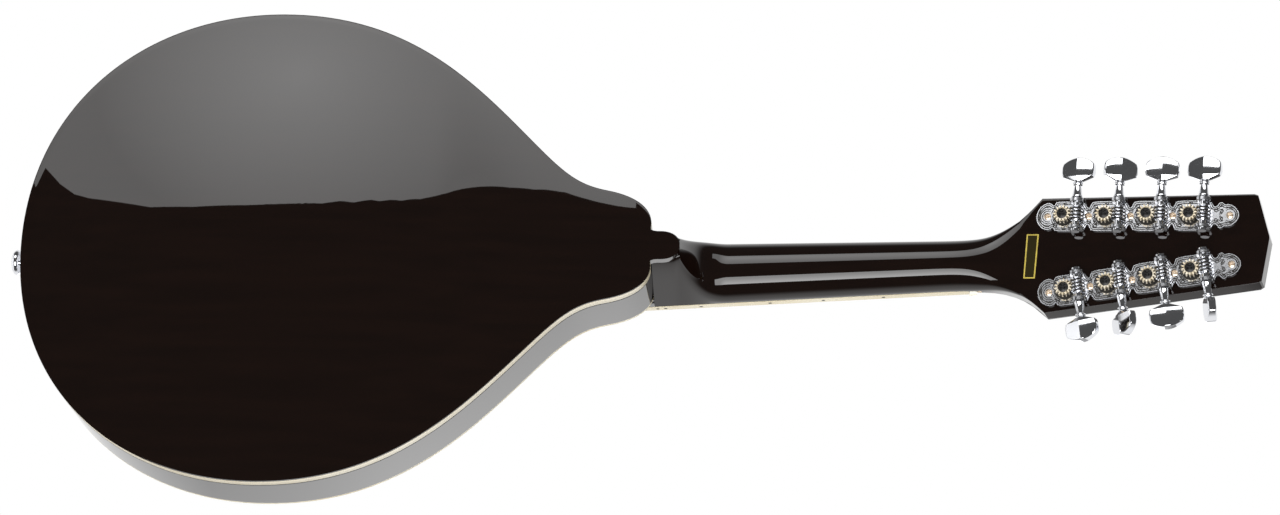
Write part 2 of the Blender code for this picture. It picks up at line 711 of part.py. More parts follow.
def head_half_width(s):
    """The headstock's half width at one distance from the nut: a flare, then a straight taper."""
    if s >= FLARE_LENGTH:
        run = (s - FLARE_LENGTH) / (TIP_CORNER_S - FLARE_LENGTH)
        return FLARE_HALF_WIDTH + (TIP_HALF_WIDTH - FLARE_HALF_WIDTH) * run
    start = Vector((NUT_HALF_WIDTH, 0))
    end = Vector((FLARE_HALF_WIDTH, FLARE_LENGTH))
    out = Vector((math.sin(FLARE_LEAN), math.cos(FLARE_LEAN)))
    points = [p for p, _ in bezier(start, start + Vector((0, FLARE_LOW_HANDLE)),
                                   end - out * FLARE_HIGH_HANDLE, end, 24)] + [end]
    return interpolate([(p.x, p.y) for p in points], max(s, 0.0))


def neck_section(origin, across, half_width, depth, squareness, back_share):
    """One section: a flat front and a back that goes from a half ellipse to a box as squareness grows."""
    sides = 10
    power = 2 / squareness
    points = []
    for i in range(sides + 1):
        turn = math.pi * i / sides
        c, s = math.cos(turn), math.sin(turn)
        down = abs(s) ** power if i not in (0, sides) else 0.0
        width = half_width * (1 + (back_share - 1) * down)
        side = math.copysign(abs(c) ** power, c) if abs(c) > 1e-9 else 0.0
        points.append(Vector((width * side, 0, 0)) + origin + across * (depth * down))
    return points


def neck_depth(z):
    """Depth of the neck under the fingerboard, from the heel's scoop to the nut."""
    plain = NECK_DEPTH_LOW + (NECK_DEPTH_NUT - NECK_DEPTH_LOW) * max(z, 0.0) / NUT_Z
    full = -glue_y(z) - BINDING_HEIGHT - GLUE_GAP
    if z <= HEEL_LENGTH:
        return full
    run = min((z - HEEL_LENGTH) / HEEL_SCOOP_LENGTH, 1.0)
    return plain + (full - plain) * (1 - run) ** HEEL_SCOOP_POWER


def make_neck(root):
    """Neck, heel, tongue and headstock in one loft, with the truss rod's channel and the post holes."""
    straight = Vector((0, 1, 0))
    rings = []
    tongue_end = board_end_z() + FINGERBOARD_TAIL / 2
    stations = [tongue_end, tongue_end * 0.75, tongue_end * 0.5, tongue_end * 0.25, 0.0, RIM_END_Z]
    for z in stations:
        depth = top_surface_y(0.0, min(z, 0.0)) - GLUE_GAP - glue_y(z)
        width = board_half_width(z) - GLUE_GAP
        rings.append(neck_section(Vector((0, glue_y(z), z)), straight, width, depth, 12.0, 1.0))
    heel_end = HEEL_LENGTH - 0.3 * MM
    for z in (RIM_END_Z, 8 * MM, 13 * MM, heel_end, 19 * MM, 22 * MM, 26 * MM, 31 * MM, 38 * MM, 47 * MM, 60 * MM):
        depth = neck_depth(z)
        full = -glue_y(z)
        run = min(max((z - heel_end) / (HEEL_SCOOP_LENGTH * 0.8), 0.0), 1.0)
        squareness = 9.0 + (2.3 - 9.0) * run
        back = 1 + (HEEL_HALF_WIDTH * 0.97 / board_half_width(z) - 1) * depth / full
        if 10 * MM < z <= heel_end:
            back *= 1 - 0.3 * ((z - 10 * MM) / (heel_end - 10 * MM)) ** 2
        width = board_half_width(z) - GLUE_GAP
        rings.append(neck_section(Vector((0, glue_y(z), z)), straight, width, depth, squareness, back))
    for z in (95 * MM, 135 * MM, NUT_Z, NUT_Z + NUT_THICKNESS):
        width = min(board_half_width(z), NUT_HALF_WIDTH) if z > NUT_Z else board_half_width(z) - GLUE_GAP
        rings.append(neck_section(Vector((0, glue_y(min(z, NUT_Z)), z)), straight, width, neck_depth(z), 2.3, 1.0))
    tilted = Vector((0, math.cos(HEAD_TILT), -math.sin(HEAD_TILT)))
    under = OVERLAY + GLUE_GAP
    blend = ((OVERLAY_START_S, 2.6, 2.9), (13 * MM, 3.2, 1.6), (19 * MM, 4.5, 0.6), (25 * MM, 7.0, 0.1),
             (31 * MM, 12.0, 0.0), (36 * MM, 18.0, 0.0), (FLARE_LENGTH, 24.0, 0.0),
             (FLARE_LENGTH + 2 * MM, 24.0, 0.0), (TIP_CORNER_S - 2 * MM, 24.0, 0.0))
    for s, squareness, extra in blend:
        origin = head_point(0, s, under)
        rings.append(neck_section(origin, tilted, head_half_width(s), HEAD_WOOD + extra * MM, squareness, 1.0))
    for s, share in ((TIP_CORNER_S, 0.96), ((TIP_CORNER_S + TIP_S) / 2, 0.5), (TIP_S, 0.03)):
        origin = head_point(0, s, under)
        rings.append(neck_section(origin, tilted, TIP_HALF_WIDTH * share, HEAD_WOOD, 24.0, 1.0))
    neck = add_object("neck", loft("neck", rings), "dark_lacquer", root)

    slope = Matrix.Rotation(-NECK_PITCH, 4, "X")
    channel_high = NUT_Z + 14 * MM
    channel_low = NUT_Z - TRUSS_ROD_LENGTH - 2 * MM
    depth = TRUSS_ROD_HEIGHT + RUNNING_GAP
    half = TRUSS_ROD_WIDTH / 2 + GLUE_GAP
    channel = box("channel", (-half, -4 * MM, channel_low), (half, depth, channel_high))
    place = Matrix.Translation((0, glue_y(0), 0)) @ slope
    modify(neck, add_object("truss rod channel", channel, None, root, place, cutter=True), "DIFFERENCE")
    rod = box("truss_rod", (-TRUSS_ROD_WIDTH / 2, RUNNING_GAP, channel_low + 2 * MM),
              (TRUSS_ROD_WIDTH / 2, TRUSS_ROD_HEIGHT, channel_high - 2 * MM))
    add_object("truss_rod", rod, "chrome", root, place)
    return neck


def fret_z(number):
    """Where one fret stands, by the rule of twelve equal steps to the octave."""
    return NUT_Z - SCALE_LENGTH * (1 - 2 ** (-number / 12))


def board_end_z():
    """The fingerboard's end over the body, a little past the last fret."""
    return BOARD_END_Z


def make_fingerboard(root):
    """The board with its frets as one side profile, the binding round it, and the nut."""
    end = board_end_z() + BOARD_BINDING_WIDTH + GLUE_GAP
    profile = [(NUT_Z - GLUE_GAP, FINGERBOARD_THICKNESS), (NUT_Z - GLUE_GAP, 0.0)]
    for number in range(1, FRET_COUNT + 1):
        z = fret_z(number)
        profile += [(z + FRET_WIDTH / 2, 0.0), (z + FRET_WIDTH / 4, -FRET_HEIGHT),
                    (z - FRET_WIDTH / 4, -FRET_HEIGHT), (z - FRET_WIDTH / 2, 0.0)]
    profile += [(end, 0.0), (end, FINGERBOARD_THICKNESS)]

    def side(sign):
        inset = BOARD_BINDING_WIDTH + GLUE_GAP
        return [(sign * (board_half_width(z) - inset), board_y(z) + drop, z) for z, drop in profile]
    add_object("fingerboard", loft("fingerboard", [side(-1), side(1)]), "rosewood", root)

    def binding_ring(x_out, x_in, z):
        top, low = board_y(z), board_y(z) + FINGERBOARD_THICKNESS
        return [(x_out, top, z), (x_in, top, z), (x_in, low, z), (x_out, low, z)]
    rows = []
    low_z = board_end_z()
    for sign in (-1, 1):
        legs = []
        for z in (NUT_Z - GLUE_GAP, low_z + BOARD_BINDING_WIDTH):
            out = board_half_width(z)
            legs.append(binding_ring(sign * out, sign * (out - BOARD_BINDING_WIDTH), z))
        corner_out = board_half_width(low_z)
        drop = FINGERBOARD_THICKNESS
        corner = [(sign * corner_out, board_y(low_z), low_z),
                  (sign * (corner_out - BOARD_BINDING_WIDTH), board_y(end - GLUE_GAP), end - GLUE_GAP),
                  (sign * (corner_out - BOARD_BINDING_WIDTH), board_y(end - GLUE_GAP) + drop, end - GLUE_GAP),
                  (sign * corner_out, board_y(low_z) + drop, low_z)]
        rows.append([legs[0], corner])
    rings = rows[0] + rows[1][::-1]
    add_object("fingerboard_binding", loft("fingerboard_binding", rings), "ivory_binding", root)

    low_y = glue_y(NUT_Z) - GLUE_GAP
    top_y = board_y(NUT_Z) - NUT_RISE
    low_z, high_z = NUT_Z, NUT_Z + NUT_THICKNESS
    rings = []
    for x in (-NUT_HALF_WIDTH, NUT_HALF_WIDTH):
        rings.append([(x, low_y, low_z), (x, top_y, low_z), (x, top_y, low_z + NUT_THICKNESS * 0.3),
                      (x, top_y + 1.2 * MM, high_z), (x, low_y, high_z)])
    nut = add_object("nut", loft("nut", rings), "bone", root)
    for index, (x, radius, _) in enumerate(string_rows()):
        slot = turned(f"slot {index}", [(radius + 0.12 * MM, -1 * MM), (radius + 0.12 * MM, 8 * MM)], 5)
        route = string_route(index)
        aim = (route[-1] - route[-2]).to_track_quat("Z", "Y").to_matrix().to_4x4()
        place = Matrix.Translation(route[-2]) @ aim
        cutter = add_object(f"nut slot {index}", slot, None, root, place, cutter=True)
        modify(nut, cutter, "DIFFERENCE")


# Strings

def string_rows():
    """For each string from bass to treble: x at the nut, radius and x at the bridge."""
    rows = []
    for course, diameter in enumerate(STRING_DIAMETERS):
        centre = course - (len(STRING_DIAMETERS) - 1) / 2
        for pair in (-1, 1):
            nut_x = centre * COURSE_SPACING_NUT + pair * PAIR_HALF_GAP_NUT
            bridge_x = centre * COURSE_SPACING_BRIDGE + pair * PAIR_HALF_GAP_BRIDGE
            rows.append((nut_x, diameter / 2, bridge_x))
    return rows


def string_line_y(z, radius):
    """A string's centre between the nut and the bridge."""
    nut_y = board_y(NUT_Z) - FRET_HEIGHT - ACTION_AT_NUT
    join_y = board_y(0.0) - FRET_HEIGHT - ACTION_AT_JOIN
    return nut_y + (join_y - nut_y) * (NUT_Z - z) / NUT_Z - radius


def saddle_top_y():
    """The saddle's crest, just under the strings."""
    return string_line_y(BRIDGE_Z, 0.0) + RUNNING_GAP / 2


def string_route(index):
    """One string's corners: its hook, the saddle, the nut and its post."""
    x, radius, bridge_x = string_rows()[index]
    side = -1 if index < TUNERS_PER_SIDE else 1
    order = index if side < 0 else STRING_COUNT - 1 - index
    post_x, post_s = post_place(side, order)
    tangent_x = post_x - side * (COIL_RADIUS + radius + RUNNING_GAP)
    course = (index // 2) - (len(STRING_DIAMETERS) - 1) / 2
    tail_x = course * COURSE_SPACING_TAIL + (1 if index % 2 else -1) * PAIR_HALF_GAP_BRIDGE
    return [
        tailpiece_point(tail_x, HOOK_Z + HOOK_SHEET + GLUE_GAP + radius, hook_string_height() + radius),
        Vector((bridge_x, string_line_y(BRIDGE_Z, radius), BRIDGE_Z)),
        Vector((x, string_line_y(NUT_Z, radius), NUT_Z)),
        head_point(tangent_x, post_s, -COIL_HEIGHT),
    ]


def make_strings(root):
    """Eight strings, each from its hook over the saddle and the nut to its post."""
    for index, (_, radius, _) in enumerate(string_rows()):
        curve = wire_curve(f"string_{index + 1}", string_route(index), radius)
        add_object(f"string_{index + 1}", curve, "string_steel", root)


def wire_curve(name, route, radius):
    """A round wire through the route's points."""
    curve = bpy.data.curves.new(name, "CURVE")
    curve.dimensions = "3D"
    curve.bevel_depth = radius
    curve.bevel_resolution = 1
    curve.use_fill_caps = True
    curve.render_resolution_u = 0
    spline = curve.splines.new("POLY")
    spline.points.add(len(route) - 1)
    for point, place in zip(spline.points, route):
        point.co = (*place, 1.0)
    return curve


# Headstock hardware

def post_place(side, order):
    """A tuner post's x and distance from the nut. side is +1 for treble and -1 for bass."""
    run = TUNER_PITCH * order
    x = side * (FIRST_POST_X - run * math.sin(ROW_LEAN))
    return x, FIRST_POST_S + run * math.cos(ROW_LEAN)


def back_of_head(x, s, height):
    """A bench point over the headstock's back surface."""
    return head_point(x, s, OVERLAY + GLUE_GAP + HEAD_WOOD + height)


def row_matrix(side):
    """The frame of one row of tuners: x up the row, z out of the headstock's back, y across."""
    along = Vector((-side * math.sin(ROW_LEAN), math.cos(ROW_LEAN) * math.sin(HEAD_TILT),
                    math.cos(ROW_LEAN) * math.cos(HEAD_TILT)))
    out = Vector((0, math.cos(HEAD_TILT), -math.sin(HEAD_TILT)))
    across = out.cross(along)
    origin = back_of_head(*post_place(side, 0), 0.0)
    matrix = Matrix((along, across, out)).transposed().to_4x4()
    matrix.translation = origin
    return matrix


def overlay_outline():
    """The overlay's outline in (x, distance from the nut)."""
    stations = [OVERLAY_START_S, 14 * MM, 20 * MM, 26 * MM, 31 * MM, 36 * MM, FLARE_LENGTH, TIP_CORNER_S - 2 * MM]
    side = [(head_half_width(s), s) for s in stations]
    side += [(TIP_HALF_WIDTH * 0.96, TIP_CORNER_S)]
    return side + [(0.0, TIP_S)] + [(-x, s) for x, s in reversed(side)]


def make_headstock(root, neck):
    """Overlay, truss rod cover and the holes for the posts."""
    rings = [[head_point(x, s, depth) for x, s in overlay_outline()] for depth in (0.0, OVERLAY)]
    overlay = add_object("headstock_overlay", loft("headstock_overlay", rings), "black_plastic", root)
    hole_radius = POST_RADIUS + RUNNING_GAP
    for side in (-1, 1):
        for order in range(TUNERS_PER_SIDE):
            x, s = post_place(side, order)
            hole = turned("hole", [(hole_radius, -30 * MM), (hole_radius, 30 * MM)], 8)
            place = row_matrix(side) @ Matrix.Translation((TUNER_PITCH * order, 0, 0))
            cutter = add_object(f"post hole {side} {order}", hole, None, root, place, cutter=True)
            modify(neck, cutter, "DIFFERENCE")
            modify(overlay, cutter, "DIFFERENCE")
    half, end = ROD_COVER_HALF_WIDTH, OVERLAY_START_S + ROD_COVER_LENGTH
    start = OVERLAY_START_S + 1 * MM
    side = [(half, start), (half, start + ROD_COVER_LENGTH * 0.25), (half * 0.62, start + ROD_COVER_LENGTH * 0.55),
            (half * 0.5, end - 4 * MM)]
    outline = side + [(0.0, end)] + [(-x, s) for x, s in reversed(side)]
    low, high = -GLUE_GAP, -GLUE_GAP - ROD_COVER_THICKNESS
    rings = [[head_point(x, s, depth) for x, s in outline] for depth in (high, low)]
    add_object("truss_rod_cover", loft("truss_rod_cover", rings), "black_plastic", root)


def plate_outline():
    """One side of a tuner plate from its round end to its shield end, in (along, across)."""
    wing, waist, end = TUNER_PLATE_HALF_WIDTH, TUNER_PLATE_WAIST, TUNER_PLATE_ROUND_END
    points = []
    for degrees in (180, 150, 120, 95):
        turn = math.radians(degrees)
        points.append((end * (math.cos(turn) - 0.8), end * math.sin(turn)))
    points += [(-end * 0.69, wing * 0.7), (-end * 0.55, wing)]
    lug_end = CENTRE_DISTANCE + LUG_HALF_WIDTH
    shoulder = TUNER_PITCH * 0.07
    for order in range(TUNERS_PER_SIDE):
        gear = order * TUNER_PITCH
        if order:
            points += [(gear - TUNER_PITCH + lug_end + shoulder * 1.7, waist), (gear - TUNER_PITCH * 0.32, wing)]
        points += [(gear + lug_end, wing), (gear + lug_end + shoulder, waist)]
    last = (TUNERS_PER_SIDE - 1) * TUNER_PITCH + lug_end + shoulder
    points += [(last + end * 0.14, waist), (last + end * 0.27, wing * 0.82), (last + end * 0.5, wing * 0.88),
               (last + end * 0.68, wing * 0.72), (last + end * 1.05, wing * 0.74), (last + end * 1.5, wing * 0.44),
               (last + end * 1.72, 0.0)]
    return points


def make_tuner_plate(name, side, root):
    """A stamped plate with a pair of bearing lugs for each worm."""
    upper = plate_outline()
    outline = upper + [(p, -q) for p, q in reversed(upper[1:-1])]
    rings = [[(p, q, h) for p, q in outline] for h in (GLUE_GAP, HEAD_PLATE_BASE)]
    plate = add_object(name, loft(name, rings), "chrome", root, row_matrix(side))
    bore = JOURNAL_RADIUS + RUNNING_GAP
    for order in range(TUNERS_PER_SIDE):
        centre = order * TUNER_PITCH + CENTRE_DISTANCE
        for tag, start, thick in (("outer", LUG_INNER, LUG_THICKNESS_OUTER), ("inner", LUG_INNER, LUG_THICKNESS_INNER)):
            way = side if tag == "outer" else -side
            y_a, y_b = way * start, way * (start + thick)
            section = lug_section(centre)
            rings = [[(p, y, h) for p, h in section] for y in (min(y_a, y_b), max(y_a, y_b))]
            lug = add_object(f"{tag} lug {name} {order}", loft("lug", rings), None, plate, cutter=True)
            modify(plate, lug, "UNION")
        hole = turned("bore", [(bore, -20 * MM), (bore, 20 * MM)], 8)
        turn = Matrix.Rotation(math.pi / 2, 4, "X")
        place = Matrix.Translation((centre, 0, WORM_HEIGHT)) @ turn
        modify(plate, add_object(f"bore {name} {order}", hole, None, plate, place, cutter=True), "DIFFERENCE")
        post = turned("post hole", [(POST_RADIUS + RUNNING_GAP, -5 * MM), (POST_RADIUS + RUNNING_GAP, 5 * MM)], 8)
        place = Matrix.Translation((order * TUNER_PITCH, 0, 0))
        modify(plate, add_object(f"plate hole {name} {order}", post, None, plate, place, cutter=True), "DIFFERENCE")


def lug_section(centre):
    """A bearing lug seen along the worm: straight sides under a round head."""
    low = GLUE_GAP + TUNER_PLATE / 2
    points = [(centre - LUG_HALF_WIDTH, low), (centre + LUG_HALF_WIDTH, low)]
    steps = 4
    for i in range(steps + 1):
        turn = math.pi * i / steps
        points.append((centre + LUG_HALF_WIDTH * math.cos(turn), WORM_HEIGHT + LUG_HALF_WIDTH * math.sin(turn) * 0.85))
    return points


def gear_mesh():
    """A post with its toothed wheel. A tooth points along local x, and the teeth lean with the worm's thread."""
    pitch_angle = 2 * math.pi / GEAR_TEETH
    outer = GEAR_PITCH_RADIUS + TOOTH_HEIGHT
    root = GEAR_PITCH_RADIUS - TOOTH_DEPTH
    half_tip = (THREAD_PITCH / 2 - TOOTH_BACKLASH) / 2 / outer * 0.55
    middle = WORM_HEIGHT
    lean_angle = THREAD_PITCH / (2 * math.pi * WORM_PITCH_RADIUS) / GEAR_PITCH_RADIUS

    def tooth_ring(height):
        shift = lean_angle * (height - middle)
        points = []
        for tooth in range(GEAR_TEETH):
            angle = tooth * pitch_angle + shift
            for radius, turn in ((outer, -half_tip), (outer, half_tip), (root, pitch_angle / 2)):
                points.append((radius * math.cos(angle + turn), radius * math.sin(angle + turn), height))
        return points
    low, high = middle - GEAR_THICKNESS / 2, middle + GEAR_THICKNESS / 2
    wheel = loft("wheel", [tooth_ring(low), tooth_ring(high)])
    face = -(OVERLAY + GLUE_GAP + HEAD_WOOD)
    tip = face - POST_RISE
    coil = face - COIL_HEIGHT
    profile = [(POST_RADIUS * 0.8, tip), (POST_RADIUS, tip + 1 * MM), (POST_RADIUS, coil - 2 * MM),
               (COIL_RADIUS, coil - 1.4 * MM), (COIL_RADIUS, coil + 1.4 * MM), (POST_RADIUS, coil + 2 * MM),
               (POST_RADIUS, middle)]
    post = turned("post", profile, 8)
    screw = turned("screw", [(GEAR_SCREW_RADIUS, middle), (GEAR_SCREW_RADIUS, high + 0.5 * MM)], 8)
    return wheel, post, screw


def worm_rings():
    """The worm's thread as a clamped helical grid: rows of points whose ends fall on two flat rings."""
    crest_half = (THREAD_PITCH / 2 - TOOTH_BACKLASH) / 2 * 0.9
    offsets = ((-crest_half, WORM_OUTER), (crest_half, WORM_OUTER), (THREAD_PITCH / 2, WORM_ROOT))
    phase = THREAD_PITCH * 3 / 4
    return offsets, phase


def key_mesh():
    """A tuner key about local z: journal, worm, bearing, stem and button, the button at +z."""
    sides = KEY_SIDES
    inner_end = -(LUG_INNER + LUG_THICKNESS_INNER + RUNNING_GAP)
    outer_lug_end = LUG_INNER + LUG_THICKNESS_OUTER + RUNNING_GAP
    bm = bmesh.new()

    def circle(radius, height):
        return [bm.verts.new((radius * math.cos(2 * math.pi * i / sides),
                              radius * math.sin(2 * math.pi * i / sides), height)) for i in range(sides)]

    def skin(low, high):
        for i in range(sides):
            j = (i + 1) % sides
            bm.faces.new((low[i], low[j], high[j], high[i]))

    cap = JOURNAL_RADIUS + 0.7 * MM
    below = [circle(r, z) for r, z in ((cap, inner_end - 1.2 * MM), (cap, inner_end), (JOURNAL_RADIUS, inner_end),
                                       (JOURNAL_RADIUS, -WORM_HALF_LENGTH - 0.5 * MM))]
    bm.faces.new(below[0][::-1])
    for low, high in zip(below, below[1:]):
        skin(low, high)

    offsets, phase = worm_rings()
    limit = WORM_HALF_LENGTH
    turns = int(math.ceil(2 * limit / THREAD_PITCH)) + 3
    cells = {}

    def thread_vertex(i, row):
        """Row counts profile points up the worm at one of the sides, thread pitch by thread pitch."""
        step, part = divmod(row, len(offsets))
        shift, radius = offsets[part]
        height = phase + THREAD_PITCH * (i / sides + step - turns // 2 - 1) + shift
        if height <= -limit:
            height, radius = -limit, WORM_ROOT
        elif height >= limit:
            height, radius = limit, WORM_ROOT
        key = (i % sides, round(height / MM, 4))
        if key not in cells:
            angle = 2 * math.pi * (i % sides) / sides
            cells[key] = bm.verts.new((radius * math.cos(angle), radius * math.sin(angle), height))
        return cells[key]
    rows = len(offsets) * turns
    for i in range(sides):
        for row in range(rows):
            corners = [thread_vertex(i, row), thread_vertex(i + 1, row),
                       thread_vertex(i + 1, row + 1), thread_vertex(i, row + 1)]
            if i + 1 == sides:
                corners = [thread_vertex(i, row), thread_vertex_wrapped(thread_vertex, i + 1, row, sides, offsets),
                           thread_vertex_wrapped(thread_vertex, i + 1, row + 1, sides, offsets),
                           thread_vertex(i, row + 1)]
            unique = []
            for vertex in corners:
                if vertex not in unique:
                    unique.append(vertex)
            if len(unique) >= 3:
                bm.faces.new(unique)
    low_ring = [cells[(i, round(-limit / MM, 4))] for i in range(sides)]
    high_ring = [cells[(i, round(limit / MM, 4))] for i in range(sides)]
    skin(below[-1], low_ring)

    above = [high_ring]
    above += [circle(r, z) for r, z in ((JOURNAL_RADIUS, limit + 0.5 * MM), (JOURNAL_RADIUS, outer_lug_end),
                                        (STEM_RADIUS, outer_lug_end), (STEM_WAIST_RADIUS, BUTTON_START - 2.6 * MM),
                                        (STEM_RADIUS, BUTTON_START - 2.2 * MM),
                                        (STEM_RADIUS, BUTTON_START - 0.3 * MM))]
    above += [[bm.verts.new(p) for p in button_section(*station)] for station in button_stations()]
    for low, high in zip(above, above[1:]):
        skin(low, high)
    bm.faces.new(above[-1])
    return finish_mesh("tuner key", bm)


def thread_vertex_wrapped(vertex, i, row, sides, offsets):
    """The thread climbs one pitch in a turn, so the last side meets the first one a pitch higher."""
    return vertex(i - sides, row + len(offsets))


def button_stations():
    """Height, half width and half thickness up the button: a vee base, straight sides and a domed end."""
    w, t, h0, h = BUTTON_HALF_WIDTH, BUTTON_HALF_THICKNESS, BUTTON_START, BUTTON_HEIGHT
    return ((h0, w * 0.36, t * 0.8), (h0 + h * 0.2, w, t), (h0 + h * 0.72, w * 0.985, t),
            (h0 + h * 0.88, w * 0.7, t * 0.95), (h0 + h, w * 0.2, t * 0.8))


def button_section(height, half_width, half_thickness):
    """Eight points round the button: two crowned faces and two edges."""
    ring = [(1.0, 0.0), (0.8, 0.93), (0.0, 1.0), (-0.8, 0.93), (-1.0, 0.0), (-0.8, -0.93), (0.0, -1.0), (0.8, -0.93)]
    return [(half_thickness * x, half_width * y, height) for x, y in ring]


def make_tuners(root):
    """Two plates, eight keys and eight geared posts, each key turned as the photograph shows it."""
    key = key_mesh()
    wheel, post, screw = gear_mesh()
    for label, side, turns in (("bass", -1, KEY_TURNS_BASS), ("treble", 1, KEY_TURNS_TREBLE)):
        make_tuner_plate(f"tuner_plate_{label}", side, root)
        row = row_matrix(side)
        for order in range(TUNERS_PER_SIDE):
            number = order + 1
            turn = math.radians(turns[order])
            gear_turn = -side * turn / GEAR_TEETH
            place = row @ Matrix.Translation((TUNER_PITCH * order, 0, 0)) @ Matrix.Rotation(gear_turn, 4, "Z")
            gear = add_object(f"gear_post_{label}_{number}", wheel, "gear_nickel", root, place)
            for extra, data in (("shaft", post), ("screw", screw)):
                piece = add_object(f"{extra} {label} {number}", data, None, gear, cutter=True)
                modify(gear, piece, "UNION")
            x_axis = Vector((0, 0, 1))
            z_axis = Vector((0, side, 0))
            frame = Matrix((x_axis, z_axis.cross(x_axis), z_axis)).transposed().to_4x4()
            frame.translation = (TUNER_PITCH * order + CENTRE_DISTANCE, 0, WORM_HEIGHT)
            base = 0.0 if side > 0 else math.pi
            place = row @ frame @ Matrix.Rotation(base + turn, 4, "Z")
            add_object(f"tuner_key_{label}_{number}", key, "chrome", root, place)


# Bridge

def make_bridge(root):
    """A footed base, two thumbwheels and the saddle that rides on them."""
    low_z, high_z = BRIDGE_Z - BRIDGE_BASE_WIDTH / 2, BRIDGE_Z + BRIDGE_BASE_WIDTH / 2
    foot = dome_cutter("cutter for the bridge's feet", GLUE_GAP, root)
    crown_y = top_surface_y(0.0, BRIDGE_Z) - BRIDGE_BASE_HEIGHT
    half = BRIDGE_BASE_LENGTH / 2
    end_y = top_surface_y(half, BRIDGE_Z) - 2.4 * MM
    buried = TOP_EDGE_Y + 1 * MM
    arc = 11 * MM
    outline = [(-half, buried), (half, buried), (half, end_y), (half * 0.72, crown_y + 3.2 * MM),
               (BRIDGE_POST_X + arc, crown_y), (-BRIDGE_POST_X - arc, crown_y), (-half * 0.72, crown_y + 3.2 * MM),
               (-half, end_y)]
    rings = [[(x, y, z) for x, y in outline] for z in (low_z, high_z)]
    base = add_object("bridge_base", loft("bridge_base", rings), "rosewood", root)
    modify(base, foot, "DIFFERENCE")

    wheel_y = crown_y - SADDLE_DROP - RUNNING_GAP
    saddle_low = wheel_y - THUMBWHEEL_THICKNESS - RUNNING_GAP
    crest = saddle_top_y()
    facing = Matrix.Rotation(math.pi / 2, 4, "X")
    for label, side in (("bass", -1), ("treble", 1)):
        x = side * BRIDGE_POST_X
        post_end = saddle_low - 6 * MM
        shaft = turned("bridge post", [(BRIDGE_POST_RADIUS, -crown_y - 3 * MM), (BRIDGE_POST_RADIUS, -post_end)], 8)
        place = Matrix.Translation((x, 0, BRIDGE_Z)) @ facing
        post = add_object(f"bridge post {label}", shaft, None, root, place, cutter=True)
        modify(base, post, "UNION")
        r, bore = THUMBWHEEL_RADIUS, BRIDGE_POST_RADIUS + RUNNING_GAP
        t = THUMBWHEEL_THICKNESS
        profile = [(bore, 0.0), (r - 0.5 * MM, 0.0), (r, 0.5 * MM), (r, t - 0.5 * MM), (r - 0.5 * MM, t), (bore, t)]
        wheel = turned("thumbwheel", profile, 12, hollow=True)
        seat = Matrix.Translation((x, wheel_y, BRIDGE_Z)) @ facing
        add_object(f"thumbwheel_{label}", wheel, "chrome", root, seat)

    half = SADDLE_HALF_LENGTH
    rise = saddle_low - crest
    outline = [(-half, saddle_low), (-half * 0.28, saddle_low), (0.0, saddle_low - rise * 0.35),
               (half * 0.28, saddle_low), (half, saddle_low), (half, saddle_low - rise * 0.45),
               (half * 0.72, crest), (-half * 0.72, crest), (-half, saddle_low - rise * 0.45)]
    wide, thin = SADDLE_WIDTH / 2, SADDLE_CREST / 2

    def thickness(y):
        share = (saddle_low - y) / rise
        return wide + (thin - wide) * max(share, 0.0)
    rings = [[(x, y, BRIDGE_Z + way * thickness(y)) for x, y in outline] for way in (-1, 1)]
    saddle = add_object("bridge_saddle", loft("bridge_saddle", rings), "rosewood", root)
    for side in (-1, 1):
        bore = BRIDGE_POST_RADIUS + RUNNING_GAP
        hole = turned("saddle hole", [(bore, -saddle_low - rise), (bore, -crest + SADDLE_CREST)], 10)
        place = Matrix.Translation((side * BRIDGE_POST_X, 0, BRIDGE_Z)) @ facing
        modify(saddle, add_object(f"saddle hole {side}", hole, None, root, place, cutter=True), "DIFFERENCE")


# Tailpiece and end pin


def tailpiece_point(x, run, height):
    """A bench point over the tailpiece's sheet: run up from the tail and height over the sheet."""
    base_y = TOP_EDGE_Y - TAILPIECE_LIFT
    y = base_y - run * math.sin(TAILPIECE_SLOPE) - height * math.cos(TAILPIECE_SLOPE)
    z = TAIL_Z + run * math.cos(TAILPIECE_SLOPE) - height * math.sin(TAILPIECE_SLOPE)
    return Vector((x, y, z))


def hook_string_height():
    """How high over the sheet the strings leave their hooks."""
    return TAILPIECE_SHEET + HOOK_HEIGHT * 0.45


